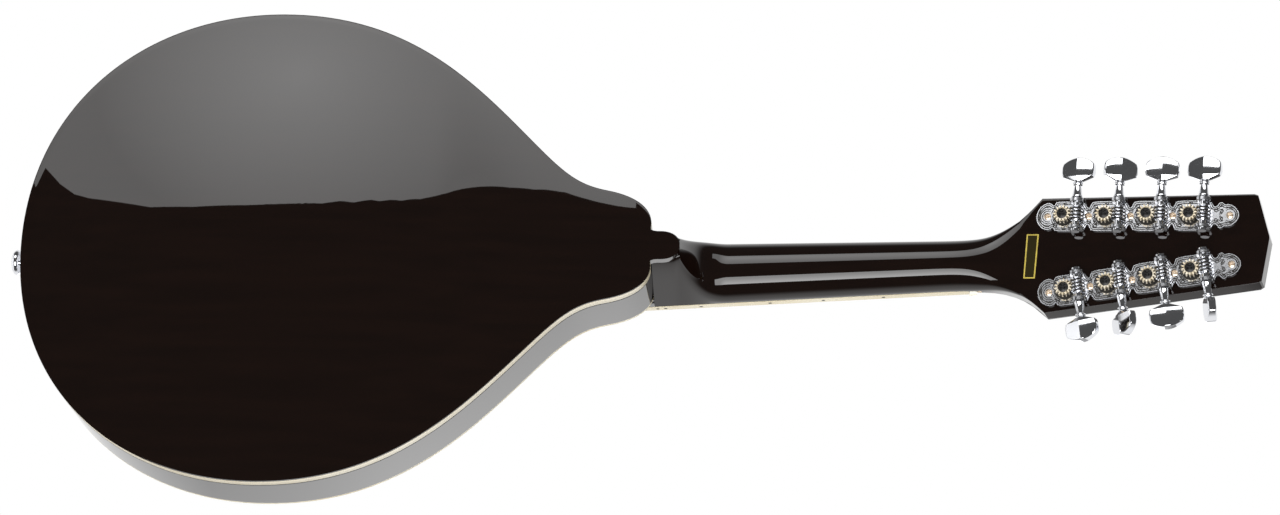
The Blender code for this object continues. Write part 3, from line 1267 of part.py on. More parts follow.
def make_tailpiece(root):
    """The bent base with its hooks, and the cover that slides up over it."""
    sheet = TAILPIECE_SHEET
    rim_z = TAIL_Z - BINDING_WIDTH - GLUE_GAP
    flange_end = TOP_EDGE_Y + TAILPIECE_FLANGE
    bend_y = tailpiece_point(0, 0, 0).y
    section = [Vector((0, flange_end, rim_z)), Vector((0, bend_y, rim_z)),
               tailpiece_point(0, TAILPIECE_REACH, 0), tailpiece_point(0, TAILPIECE_REACH, sheet),
               tailpiece_point(0, -BINDING_WIDTH - sheet, sheet), Vector((0, flange_end, rim_z - sheet))]
    rings = [[(x, p.y, p.z) for p in section] for x in (-TAILPIECE_HALF_WIDTH, TAILPIECE_HALF_WIDTH)]
    base = add_object("tailpiece_base", loft("tailpiece_base", rings), "chrome", root)
    for index in range(STRING_COUNT):
        centre = (index // 2) - (len(STRING_DIAMETERS) - 1) / 2
        x = centre * COURSE_SPACING_TAIL + (1 if index % 2 else -1) * PAIR_HALF_GAP_BRIDGE
        half = 0.6 * MM
        corners = [(HOOK_Z, sheet / 2), (HOOK_Z + HOOK_SHEET, sheet / 2), (HOOK_Z + HOOK_SHEET, sheet + HOOK_HEIGHT),
                   (HOOK_Z, sheet + HOOK_HEIGHT)]
        rings = [[tailpiece_point(x + way * half, run, height) for run, height in corners] for way in (-1, 1)]
        hook = add_object(f"hook {index}", loft("hook", rings), None, root, cutter=True)
        modify(base, hook, "UNION")
    bore = END_PIN_SHANK_RADIUS + RUNNING_GAP
    pin_hole = turned("pin hole", [(bore, -END_PIN_SHANK * 2), (bore, END_PIN_SHANK * 2)], 10)
    place = Matrix.Translation((0, -END_PIN_DEPTH, TAIL_Z))
    pin_cutter = add_object("end pin hole", pin_hole, None, root, place, cutter=True)
    modify(base, pin_cutter, "DIFFERENCE")

    inner = TAILPIECE_HALF_WIDTH + RUNNING_GAP
    outer = inner + COVER_SHEET
    top = COVER_HEIGHT
    section = [(-outer, 0.0), (-outer, top - 2 * MM), (-outer + 2 * MM, top), (outer - 2 * MM, top),
               (outer, top - 2 * MM), (outer, 0.0), (inner, 0.0), (inner, top - 2 * MM - COVER_SHEET),
               (inner - 2 * MM, top - COVER_SHEET), (-inner + 2 * MM, top - COVER_SHEET),
               (-inner, top - 2 * MM - COVER_SHEET), (-inner, 0.0)]
    rings = [[tailpiece_point(x, run, h) for x, h in section] for run in (2 * MM, 2 * MM + COVER_LENGTH)]
    add_object("tailpiece_cover", loft("tailpiece_cover", rings), "chrome", root)

    start = BINDING_WIDTH + GLUE_GAP + sheet + GLUE_GAP
    shank = END_PIN_SHANK_RADIUS
    r, length = END_PIN_RADIUS, END_PIN_LENGTH
    profile = [(shank, END_PIN_SHANK), (shank, -start), (r * 0.72, -start), (r * 0.42, -start - length * 0.3),
               (r * 0.42, -start - length * 0.48), (r, -start - length * 0.62), (r, -start - length * 0.82),
               (r * 0.7, -start - length)]
    pin = turned("end_pin", profile, 12)
    add_object("end_pin", pin, "chrome", root, place)
    return pin_cutter


# Electrics

def make_pickup(root, top):
    """A pickup in its ring, trimmed to the arch, with its coil let through the top."""
    half_x, half_z = PICKUP_HALF_LENGTH, PICKUP_HALF_WIDTH
    cover_y = string_line_y(PICKUP_Z, 0.0) + PICKUP_STRING_GAP
    low_y = TOP_EDGE_Y + GLUE_GAP * 4
    corner = PICKUP_CORNER
    outline = []
    for cx, cz, start in ((1, 1, 0), (-1, 1, 90), (-1, -1, 180), (1, -1, 270)):
        for degrees in (0, 45, 90):
            turn = math.radians(start + degrees)
            outline.append((cx * (half_x - corner) + corner * math.cos(turn),
                            cz * (half_z - corner) + corner * math.sin(turn)))
    shrink = (half_x - PICKUP_EASE) / half_x
    eased_y = cover_y + PICKUP_EASE
    rings = [[(x, low_y, PICKUP_Z + z) for x, z in outline], [(x, eased_y, PICKUP_Z + z) for x, z in outline],
             [(x * shrink, cover_y, PICKUP_Z + z * shrink) for x, z in outline]]
    pickup = add_object("pickup", loft("pickup", rings), "chrome", root)
    modify(pickup, dome_cutter("cutter for the pickup ring", GLUE_GAP, root), "DIFFERENCE")
    coil_x, coil_z = PICKUP_COIL_HALF_LENGTH, PICKUP_COIL_HALF_WIDTH
    coil = box("coil", (-coil_x, cover_y + PICKUP_EASE * 2, PICKUP_Z - coil_z),
               (coil_x, TOP_EDGE_Y + PICKUP_SUNK, PICKUP_Z + coil_z))
    modify(pickup, add_object("coil", coil, None, root, cutter=True), "UNION")
    slack = GLUE_GAP * 2
    hole = box("pickup hole", (-coil_x - slack, cover_y, PICKUP_Z - coil_z - slack),
               (coil_x + slack, TOP_EDGE_Y + PICKUP_SUNK * 2, PICKUP_Z + coil_z + slack))
    modify(top, add_object("hole for the pickup", hole, None, root, cutter=True), "DIFFERENCE")


def make_control(label, x, z, root, top):
    """A potentiometer under the top and the knob, with its shaft, over it."""
    facing = Matrix.Rotation(math.pi / 2, 4, "X")
    outside = top_surface_y(x * 0.92, z + 8 * MM)
    inside = -(top_surface_y(x, z) + PLATE_THICKNESS) - 2.6 * MM
    surface = -top_surface_y(x, z)
    bore = SHAFT_RADIUS + RUNNING_GAP
    neck_top = surface + 1.2 * MM
    profile = [(bore, inside - POT_HEIGHT + 2 * MM), (bore, neck_top), (POT_NECK_RADIUS, neck_top),
               (POT_NECK_RADIUS, inside), (POT_RADIUS, inside), (POT_RADIUS, inside - POT_HEIGHT)]
    place = Matrix.Translation((x, 0, z)) @ facing
    rings_profile = profile + [(1.0 * MM, inside - POT_HEIGHT), (1.0 * MM, inside - POT_HEIGHT + 2 * MM)]
    pot = turned(f"{label}_pot", rings_profile, 12, hollow=True)
    add_object(f"{label}_pot", pot, "chrome", root, place)
    knob_low = max(-outside, neck_top) + KNOB_LIFT
    r, h = KNOB_RADIUS, KNOB_HEIGHT
    profile = [(SHAFT_RADIUS, inside - POT_HEIGHT + 2 * MM + RUNNING_GAP), (SHAFT_RADIUS, knob_low),
               (r, knob_low), (r * 0.98, knob_low + 1.5 * MM), (r * 0.86, knob_low + h - 1 * MM),
               (r * 0.8, knob_low + h)]
    knob = turned(f"{label}_knob", profile, 14)
    add_object(f"{label}_knob", knob, "black_plastic", root, place)
    hole = turned("pot hole", [(POT_NECK_RADIUS + GLUE_GAP, 0.0), (POT_NECK_RADIUS + GLUE_GAP, 90 * MM)], 12)
    modify(top, add_object(f"{label} hole", hole, None, root, place, cutter=True), "DIFFERENCE")


def make_jack(root, rib):
    """A barrel jack through the treble rib, with its nut outside. Its bore faces +x."""
    wall = WIDEST_HALF_WIDTH + BINDING_WIDTH
    centre_y = -RIM_DEPTH / 2
    inside = wall - RIB_THICKNESS
    facing = Matrix.Translation((0, centre_y, WIDEST_Z)) @ Matrix.Rotation(math.pi / 2, 4, "Y")
    flange = JACK_BARREL_RADIUS + 1.2 * MM
    end = wall + 5.5 * MM
    start = end - JACK_LENGTH
    profile = [(JACK_BORE_RADIUS, start + 3 * MM), (JACK_BORE_RADIUS, end), (JACK_BARREL_RADIUS, end),
               (JACK_BARREL_RADIUS, inside - 1.2 * MM), (flange, inside - 1.2 * MM), (flange, start),
               (1.5 * MM, start), (1.5 * MM, start + 3 * MM)]
    jack = turned("output_jack", profile, 12, hollow=True)
    add_object("output_jack", jack, "chrome", root, facing)
    bore = JACK_BARREL_RADIUS + GLUE_GAP
    washer = JACK_NUT_RADIUS + 2 * MM
    near = wall + GLUE_GAP + 0.4 * MM
    nut_profile = [(bore, near), (washer, near), (washer, near + 0.8 * MM), (JACK_NUT_RADIUS, near + 0.8 * MM),
                   (JACK_NUT_RADIUS, near + 3.2 * MM), (bore, near + 3.2 * MM)]
    nut = turned("jack_nut", nut_profile, 12, hollow=True)
    add_object("jack_nut", nut, "chrome", root, facing)
    hole = turned("jack hole", [(bore, inside - 10 * MM), (bore, wall + 10 * MM)], 12)
    modify(rib, add_object("hole for the jack", hole, None, root, facing, cutter=True), "DIFFERENCE")


def make_wiring(root):
    """The screened lead from the pickup past the two controls to the jack."""
    under_top = TOP_EDGE_Y + PICKUP_SUNK + GLUE_GAP + WIRE_RADIUS
    jack_x = WIDEST_HALF_WIDTH + BINDING_WIDTH + 5.5 * MM - JACK_LENGTH - GLUE_GAP - WIRE_RADIUS

    def beside_pot(x, z):
        low = top_surface_y(x, z) + PLATE_THICKNESS + 2.6 * MM + POT_HEIGHT
        return Vector((x, low + 2 * MM + WIRE_RADIUS, z))
    pot_a = beside_pot(VOLUME_X, VOLUME_Z)
    pot_b = beside_pot(TONE_X, TONE_Z)
    knots = [Vector((PICKUP_COIL_HALF_LENGTH - 4 * MM, under_top, PICKUP_Z)),
             Vector((WIRE_X, under_top + WIRE_SLACK / 3, WIRE_HIGH_Z)),
             Vector((WIRE_X, under_top + WIRE_SLACK / 2, WIRE_LOW_Z)),
             pot_b, pot_a,
             Vector((jack_x - WIRE_SLACK / 3, -RIM_DEPTH / 2, WIDEST_Z - WIRE_SLACK)),
             Vector((jack_x, -RIM_DEPTH / 2, WIDEST_Z))]
    add_object("wiring", wire_curve("wiring", smooth_route(knots, 3), WIRE_RADIUS), "black_plastic", root)


def smooth_route(knots, steps):
    """Points on a Catmull-Rom curve through the knots."""
    padded = [knots[0] * 2 - knots[1]] + knots + [knots[-1] * 2 - knots[-2]]
    route = []
    for a, b, c, d in zip(padded, padded[1:], padded[2:], padded[3:]):
        for i in range(steps):
            t = i / steps
            route.append(0.5 * (b * 2 + (c - a) * t + (a * 2 - b * 5 + c * 4 - d) * t ** 2
                                + (b * 3 - a - c * 3 + d) * t ** 3))
    return route + [knots[-1]]


def main():
    for obj in list(bpy.data.objects):
        bpy.data.objects.remove(obj, do_unlink=True)
    root = bpy.data.objects.new("mandolin", None)
    bpy.context.scene.collection.objects.link(root)
    hanging_point = head_point(0, HANGER_S, (OVERLAY + GLUE_GAP + HEAD_WOOD) / 2)
    root.location = -hanging_point

    top, ribs = make_body(root)
    for side in (-1, 1):
        for cutter in fhole_cutters(root, side):
            modify(top, cutter, "DIFFERENCE")
    neck = make_neck(root)
    make_fingerboard(root)
    make_headstock(root, neck)
    make_tuners(root)
    make_bridge(root)
    pin_cutter = make_tailpiece(root)
    for name in ("rib_bass", "rib_treble", "top_lining", "tail_block"):
        modify(bpy.data.objects[name], pin_cutter, "DIFFERENCE")
    make_pickup(root, top)
    make_control("volume", VOLUME_X, VOLUME_Z, root, top)
    make_control("tone", TONE_X, TONE_Z, root, top)
    make_jack(root, ribs["rib_treble"])
    make_wiring(root)
    make_strings(root)
    bpy.context.view_layer.update()


main()
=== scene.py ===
"""Finished surfaces of a hollow electric mandolin that hangs by its headstock, seen from its back.

Shapes are worked out in millimetres in the maker's bench frame: x to the treble side, y to the back and
z up the neck, with z = 0 at the end of the body and y = 0 at the edge of the back. to_row carries them
into the frame of the fitted solids.
"""

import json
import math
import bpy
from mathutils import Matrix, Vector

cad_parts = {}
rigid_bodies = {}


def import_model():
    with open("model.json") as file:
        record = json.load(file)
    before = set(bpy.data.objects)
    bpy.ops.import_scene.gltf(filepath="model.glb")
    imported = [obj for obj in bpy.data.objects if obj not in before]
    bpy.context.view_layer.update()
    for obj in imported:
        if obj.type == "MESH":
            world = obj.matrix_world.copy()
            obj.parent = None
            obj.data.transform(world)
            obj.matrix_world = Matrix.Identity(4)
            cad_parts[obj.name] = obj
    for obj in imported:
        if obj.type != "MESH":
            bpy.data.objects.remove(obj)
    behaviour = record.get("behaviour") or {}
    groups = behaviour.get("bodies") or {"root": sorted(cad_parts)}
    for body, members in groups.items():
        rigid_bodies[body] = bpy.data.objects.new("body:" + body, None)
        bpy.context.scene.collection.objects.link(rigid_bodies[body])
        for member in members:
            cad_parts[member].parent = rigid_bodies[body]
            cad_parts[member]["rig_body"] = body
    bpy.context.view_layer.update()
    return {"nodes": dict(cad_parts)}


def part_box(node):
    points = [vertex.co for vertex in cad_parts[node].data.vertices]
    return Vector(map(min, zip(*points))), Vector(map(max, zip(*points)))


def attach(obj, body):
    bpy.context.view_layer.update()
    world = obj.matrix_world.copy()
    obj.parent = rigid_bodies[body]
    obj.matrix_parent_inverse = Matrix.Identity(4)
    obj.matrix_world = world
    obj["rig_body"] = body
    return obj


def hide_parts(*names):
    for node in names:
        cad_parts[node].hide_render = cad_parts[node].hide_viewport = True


bl_info = {
    "name": "Electric Mandolin",
    "version": (1, 0, 0),
    "blender": (4, 5, 0),
    "location": "3D View > Sidebar > Mandolin",
    "description": "Dresses the fitted solids of an electric mandolin and lights them",
    "category": "Add Mesh",
}

import bmesh
import bpy
import numpy as np
from bpy.props import FloatProperty, FloatVectorProperty, IntProperty
from mathutils import Matrix, Vector

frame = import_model()

# The hanging point is the origin of the solids' frame
HANGING_POINT = np.array((0.0, -22.672, 201.728))
SIDES = {"bass": -1, "treble": 1}

# Body: the widest station, its half width, the tail and the middle of the arch
WIDEST = -208.7
WIDEST_HALF = 135.4
TAIL_Z = -345.8
ARCH_CENTRE = -200.0
KNOBS = {"volume": (84.0, -252.0), "tone": (58.0, -286.0)}

# Neck and strings: the pitch and top of the fingerboard, its half widths, and the strings from bass to treble
NECK_PITCH = math.tan(math.radians(6.81))
SCALE_LENGTH = 352.4
NUT_Z = SCALE_LENGTH / 2
BRIDGE_Z = -SCALE_LENGTH / 2
HEEL_HALF = 18.1
NUT_HALF = 14.3
BOARD_THICKNESS = 5.5
BOARD_TOP = 58.85
GLUE = 0.25
STRING_RADII = (0.51, 0.51, 0.33, 0.33, 0.19, 0.19, 0.14, 0.14)

# Headstock: its tilt, face, layers, and (half width, distance from the nut) of its shoulder and tip
HEAD_TILT = math.radians(14.96)
HEAD_OUT = np.array((0.0, math.cos(HEAD_TILT), -math.sin(HEAD_TILT)))
HEAD_FACE = -35.6
HEAD_SHOULDER = (33.2, 43.9)
HEAD_TIP = (25.2, 161.4)
OVERLAY = 1.55
HEAD_WOOD = 10.0

# Tuners: lean and pitch of a row, its first post, a worm's place from its gear, the coils on the posts, and
# how far each key is turned
ROW_LEAN = math.radians(4.62)
ROW_PITCH = 23.0
FIRST_POST = (21.3, 55.6)
WORM_UP = 7.75
WORM_HEIGHT = 5.15
COIL_DEPTH = 7.6
COIL_CORE = 2.55
KEY_TURNS = {"bass": (16.0, 48.0, -4.0, 74.0), "treble": (-10.0, 22.0, 4.0, -8.0)}

# Share of its strength that a softbox keeps at the edge, and the tall one's outline, in metres across and up
LAMP_EDGE = 0.55
KEY_LAMP = ((0.27, -2.2), (0.27, 1.45), (-0.42, 1.45), (-0.5, 0.7), (-0.70, 0.2), (-0.77, -0.05),
            (-0.805, -0.22), (-0.838, -0.6), (-0.842, -0.94), (-0.838, -1.25), (-0.81, -1.5), (-0.73, -1.74),
            (-0.69, -1.86), (-0.645, -1.95), (-0.56, -2.03), (-0.41, -2.12), (0.0, -2.25))


class MandolinBody(bpy.types.PropertyGroup):
    """Sizes of the body shell."""
    rim_depth: FloatProperty(
        name="Rim depth", description="Depth of the body at its edge", default=0.0452, subtype="DISTANCE")
    back_arch: FloatProperty(
        name="Back arch", description="Rise of the pressed back over its edge", default=0.014,
        subtype="DISTANCE")
    top_arch: FloatProperty(
        name="Top arch", description="Rise of the top over its edge", default=0.014, subtype="DISTANCE")
    plate: FloatProperty(
        name="Plate thickness", description="Thickness of back and top", default=0.004, subtype="DISTANCE")
    binding_width: FloatProperty(
        name="Binding width", description="Width of the binding on the plates", default=0.0013,
        subtype="DISTANCE")
    binding_height: FloatProperty(
        name="Back binding height", description="Height of the back's binding on the rim", default=0.0066,
        subtype="DISTANCE")
    top_binding_height: FloatProperty(
        name="Top binding height", description="Height of the top's binding on the rim", default=0.0015,
        subtype="DISTANCE")


class MandolinTuners(bpy.types.PropertyGroup):
    """Sizes of the geared tuners."""
    teeth: IntProperty(name="Gear teeth", description="Teeth on each post's gear", default=14, min=8, max=30)
    gear_radius: FloatProperty(
        name="Gear radius", description="Pitch radius of the gear", default=0.0044, subtype="DISTANCE")
    worm_radius: FloatProperty(
        name="Worm radius", description="Pitch radius of the worm", default=0.00335, subtype="DISTANCE")
    button_width: FloatProperty(
        name="Button width", description="Width of a tuner button", default=0.0186, subtype="DISTANCE")
    button_length: FloatProperty(
        name="Button length", description="Length of a tuner button", default=0.0132, subtype="DISTANCE")
    button_thickness: FloatProperty(
        name="Button thickness", description="Thickness of a tuner button", default=0.0072,
        subtype="DISTANCE")


class MandolinFinish(bpy.types.PropertyGroup):
    """Colours of the finishes."""
    lacquer: FloatVectorProperty(
        name="Lacquer", description="Dark brown gloss of body and neck", default=(0.0042, 0.0017, 0.0010),
        subtype="COLOR")
    ivory: FloatVectorProperty(
        name="Ivory", description="Aged plastic of the bindings", default=(0.52, 0.47, 0.345),
        subtype="COLOR")
    chrome: FloatVectorProperty(
        name="Chrome", description="Plated hardware", default=(0.77, 0.78, 0.81), subtype="COLOR")
    gear: FloatVectorProperty(
        name="Gear metal", description="Pale nickel of the gears", default=(0.80, 0.73, 0.60),
        subtype="COLOR")
    rosewood: FloatVectorProperty(
        name="Rosewood", description="Fingerboard and bridge", default=(0.085, 0.040, 0.026), subtype="COLOR")
    spruce: FloatVectorProperty(
        name="Spruce", description="Bare wood inside the body", default=(0.62, 0.45, 0.27), subtype="COLOR")


class MandolinStudio(bpy.types.PropertyGroup):
    """Strengths of the lamps and of the room."""
    softbox: FloatProperty(
        name="Softbox", description="Brightness of the tall softbox on the treble side", default=4.6, min=0.0)
    strip: FloatProperty(
        name="Strip", description="Brightness of the softbox on the bass side", default=10.5, min=0.0)
    backdrop: FloatProperty(
        name="Backdrop", description="Brightness of the lit wall behind the instrument", default=2.3, min=0.0)
    room: FloatProperty(
        name="Room", description="Brightness of the room's plain light", default=0.95, min=0.0)


def mm(length):
    """A size from the panel, in millimetres."""
    return length * 1000.0


def to_row(points):
    """Bench millimetres to the solids' metres: less the hanging point, over a thousand."""
    return (np.asarray(points, float) - HANGING_POINT) * 0.001


def circle(count):
    """Angles of a full turn, without its last point."""
    return np.linspace(0, 2 * math.pi, count, endpoint=False)


def polar(radius, turn, centre=(0.0, 0.0)):
    """Points in a plane at a radius and angles round a centre."""
    return np.stack([centre[0] + radius * np.cos(turn), centre[1] + radius * np.sin(turn)], 1)


def directions(axis):
    """Two unit directions square to an axis and to each other, then the axis itself."""
    axis = Vector(axis).normalized()
    side = axis.orthogonal().normalized()
    return np.array(side), np.array(axis.cross(side)), np.array(axis)


def unit(vectors):
    """Rows of vectors at length one."""
    return vectors / np.maximum(np.linalg.norm(vectors, axis=-1, keepdims=True), 1e-9)


def mirrored(half, first=1, last=None, flip=(-1, 1)):
    """A half outline closed by its mirror image, without the image of the points on the middle line."""
    return np.vstack([half, (half[first:last] * flip)[::-1]])


def flat_bench(x, z, y):
    """Puts an outline drawn in (x, z) at a level y."""
    return np.stack(np.broadcast_arrays(x, y, z), -1)


def ring_faces(rows, cols, wrap_rows):
    """Quads between neighbours of a grid whose columns close into rings."""
    r = np.arange(rows if wrap_rows else rows - 1)
    grid_r, grid_c = np.meshgrid(r, np.arange(cols), indexing="ij")
    next_r, next_c = (grid_r + 1) % rows, (grid_c + 1) % cols
    quads = [grid_r * cols + grid_c, grid_r * cols + next_c, next_r * cols + next_c, next_r * cols + grid_c]
    return np.stack(quads, -1).reshape(-1, 4).tolist()


def shell(points, wrap_rows=False):
    """A closed skin over points[row, column]: columns close into rings and flat caps close the two ends."""
    rows, cols = points.shape[:2]
    faces = ring_faces(rows, cols, wrap_rows)
    if not wrap_rows:
        faces.append(list(range(cols))[::-1])
        faces.append([(rows - 1) * cols + i for i in range(cols)])
    return points.reshape(-1, 3), faces


def joined(shells):
    """Several skins as one list of points and one of faces."""
    points, faces, start = [], [], 0
    for part_points, part_faces in shells:
        points.append(part_points)
        faces += [[i + start for i in face] for face in part_faces]
        start += len(part_points)
    return np.vstack(points), faces


def skin_mesh(name, points, faces, merge=True):
    """A mesh from bench points with its faces outward, its doubles merged first where asked."""
    mesh = bpy.data.meshes.new(name)
    mesh.from_pydata(to_row(points).tolist(), [], faces)
    bm = bmesh.new()
    bm.from_mesh(mesh)
    if merge:
        bmesh.ops.remove_doubles(bm, verts=bm.verts, dist=2e-6)
        bmesh.ops.dissolve_degenerate(bm, dist=1e-7, edges=bm.edges)
    bmesh.ops.recalc_face_normals(bm, faces=bm.faces)
    bm.to_mesh(mesh)
    bm.free()
    return mesh


def linked(name, data):
    """An object in the scene for a mesh or a camera."""
    obj = bpy.data.objects.new(name, data)
    bpy.context.scene.collection.objects.link(obj)
    return obj


def shaded(mesh, sharp):
    """Smooth shading but for edges sharper than an angle."""
    mesh.shade_smooth()
    mesh.set_sharp_from_angle(angle=math.radians(sharp))


def placed(name, mesh, finish, body, hides, sharp, bevel):
    """Links a mesh as a piece with its finish, shading and optional rounded edges."""
    shaded(mesh, sharp)
    mesh.materials.clear()
    mesh.materials.append(finish)
    obj = linked(name, mesh)
    if bevel:
        step = obj.modifiers.new("rounded edges", "BEVEL")
        step.width = bevel * 0.001
        step.segments = 2
        step.limit_method = "ANGLE"
        step.angle_limit = math.radians(32)
        step.harden_normals = True
    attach(obj, body)
    if hides:
        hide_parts(*hides)
    return obj


def piece(name, shells, finish, body="instrument", hides=(), sharp=38.0, bevel=0.0):
    """One finished piece: its skins merged, faces outward, smooth but for its sharp edges, on its body."""
    return placed(name, skin_mesh(name, *joined(shells)), finish, body, hides, sharp, bevel)


def recast(node, shells, finish, sharp=38.0):
    """A finished piece in the place of one solid, on that solid's body."""
    return piece(f"{node}_finished", shells, finish, frame["nodes"][node]["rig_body"], (node,), sharp)


def softened(node, finish, width, name=None, sharp=38.0):
    """A copy of a solid with its edges rounded: doubles merged, flat faces joined, then a bevel."""
    source = frame["nodes"][node]
    mesh = source.data.copy()
    bm = bmesh.new()
    bm.from_mesh(mesh)
    bmesh.ops.remove_doubles(bm, verts=bm.verts, dist=1e-5)
    bmesh.ops.dissolve_limit(bm, angle_limit=math.radians(1.0), verts=bm.verts, edges=bm.edges)
    bm.to_mesh(mesh)
    bm.free()
    return placed(name or f"{node}_finished", mesh, finish, source["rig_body"], (node,), sharp, width)


def dress(nodes, finish):
    """Gives solids that stay as they are their finish."""
    for node in nodes:
        mesh = frame["nodes"][node].data
        mesh.materials.clear()
        mesh.materials.append(finish)


def turned(profile, centre, axis, sides=48):
    """A lathe form: each (radius, height) of the profile swept round the axis through the centre."""
    profile = np.asarray(profile, float)
    side, other, axis = directions(axis)
    turn = circle(sides)
    ring = np.cos(turn)[:, None] * side + np.sin(turn)[:, None] * other
    return shell(np.array(centre) + profile[:, :1, None] * ring[None] + profile[:, 1:, None] * axis)


def knurled(profile, centre, sides, ridges=36):
    """A turned form along y: each (radius, y, depth) is a ring whose radius swells with the cosine of the
    angle times the ridges, by the depth."""
    turn = circle(sides)
    rows = []
    for radius, y, depth in profile:
        reach = radius + depth * np.cos(turn * ridges)
        rows.append(flat_bench(*polar(reach, turn, centre).T, y))
    return np.array(rows)


def tube(route, radius, sides=12):
    """A round tube: circles square to the route, each with one side kept square to a fixed up direction."""
    route = np.asarray(route, float)
    steps = unit(np.gradient(route, axis=0))
    up = np.array((0.0, 1.0, 0.0)) if abs(steps[0][1]) < 0.9 else np.array((1.0, 0.0, 0.0))
    side = unit(np.cross(steps, up))
    other = np.cross(steps, side)
    turn = circle(sides)
    ring = np.cos(turn)[None, :, None] * side[:, None] + np.sin(turn)[None, :, None] * other[:, None]
    return shell(route[:, None] + radius * ring)


def inward(outline):
    """Unit normals that point into a closed outline: its directions turned by a quarter, to the side that
    the sign of its area gives."""
    ahead = np.roll(outline, -1, axis=0) - np.roll(outline, 1, axis=0)
    normal = unit(np.stack([-ahead[:, 1], ahead[:, 0]], 1))
    (x, y), (next_x, next_y) = outline.T, np.roll(outline, -1, axis=0).T
    return normal if np.sum(x * next_y - next_x * y) > 0 else -normal


def slab(outline, place, low, high, edge=0.3):
    """A flat plate: its outline drawn in by a small edge at both faces, then put in place."""
    outline = np.asarray(outline, float)
    normal = inward(outline)
    levels = ((edge, low), (0.0, low + edge), (0.0, high - edge), (edge, high))
    return shell(np.array([place(*(outline + normal * inset).T, level) for inset, level in levels]))


def rounded(outline, times=2, share=0.25):
    """Corner cutting: each side keeps the points a share in from its two ends, as often as asked."""
    outline = np.asarray(outline, float)
    for _ in range(times):
        ahead = np.roll(outline, -1, axis=0)
        pair = np.stack([outline * (1 - share) + ahead * share, outline * share + ahead * (1 - share)], 1)
        outline = pair.reshape(-1, 2)
    return outline


def bench_box(box):
    """A node's lowest and highest corners at rest, in bench millimetres."""
    return [np.array(corner) * 1000 + HANGING_POINT for corner in box]


# Shader groups and finishes

def set_values(node, values):
    """Puts values straight on a node's own sockets."""
    for socket, value in values.items():
        node.inputs[socket].default_value = value


def add_node(tree, kind, values=None, **settings):
    """A shader node with its settings and the values of its sockets."""
    node = tree.nodes.new(f"ShaderNode{kind}")
    for key, setting in settings.items():
        setattr(node, key, setting)
    set_values(node, values or {})
    return node


def new_material(name):
    """An empty material and its node tree."""
    material = bpy.data.materials.new(name)
    material.use_nodes = True
    return material, material.node_tree


def wire(tree, *links):
    """Links, each as (node, output, node, input)."""
    for source, output, target, socket in links:
        tree.links.new(source.outputs[output], target.inputs[socket])


def new_group(name, inputs, outputs):
    """An empty shader group with named inputs (name, type, default) and outputs (name, type), and the place
    on the piece that its patterns read."""
    tree = bpy.data.node_groups.new(name, "ShaderNodeTree")
    for label, kind, default in inputs:
        socket = tree.interface.new_socket(label, in_out="INPUT", socket_type=f"NodeSocket{kind}")
        socket.default_value = default
    for label, kind in outputs:
        tree.interface.new_socket(label, in_out="OUTPUT", socket_type=f"NodeSocket{kind}")
    place = add_node(tree, "TexCoord")
    return tree, tree.nodes.new("NodeGroupInput"), tree.nodes.new("NodeGroupOutput"), place


def handling_marks(name):
    """Soft smears in the gloss: roughness is the base plus a spread times two scales of noise."""
    tree, given, out, place = new_group(
        name, [("Base", "Float", 0.1), ("Spread", "Float", 0.05), ("Scale", "Float", 60.0)],
        [("Roughness", "Float"), ("Height", "Float")])
    coarse = add_node(tree, "TexNoise", {"Detail": 4.0})
    fine = add_node(tree, "TexNoise", {"Scale": 1400.0, "Detail": 2.0})
    blend = add_node(tree, "Math", {1: 0.35}, operation="MULTIPLY_ADD")
    spread = add_node(tree, "Math", operation="MULTIPLY_ADD")
    wire(tree, (place, "Object", coarse, "Vector"), (place, "Object", fine, "Vector"),
         (given, "Scale", coarse, "Scale"), (fine, "Fac", blend, 0), (coarse, "Fac", blend, 2),
         (blend, 0, spread, 0), (given, "Spread", spread, 1), (given, "Base", spread, 2),
         (spread, 0, out, "Roughness"), (blend, 0, out, "Height"))
    return tree


def wood_grain(name):
    """Long grain up the neck: noise stretched along z, with finer pores, mixes two colours."""
    tree, given, out, place = new_group(
        name, [("Light", "Color", (0.5, 0.5, 0.5, 1)), ("Dark", "Color", (0.1, 0.1, 0.1, 1)),
               ("Scale", "Float", 40.0)], [("Colour", "Color"), ("Height", "Float")])
    stretch = add_node(tree, "Mapping", {"Scale": (6.0, 6.0, 0.35)})
    bands = add_node(tree, "TexNoise", {"Detail": 6.0})
    pores = add_node(tree, "TexNoise", {"Scale": 420.0})
    mask = add_node(tree, "MapRange", {"From Min": 0.35, "From Max": 0.68})
    mix = add_node(tree, "Mix", data_type="RGBA")
    height = add_node(tree, "Math", operation="MULTIPLY")
    wire(tree, (place, "Object", stretch, "Vector"), (stretch, "Vector", bands, "Vector"),
         (stretch, "Vector", pores, "Vector"), (given, "Scale", bands, "Scale"),
         (bands, "Fac", mask, "Value"), (mask, "Result", mix, "Factor"), (given, "Dark", mix, 6),
         (given, "Light", mix, 7), (mask, "Result", height, 0), (pores, "Fac", height, 1),
         (mix, 2, out, "Colour"), (height, 0, out, "Height"))
    return tree


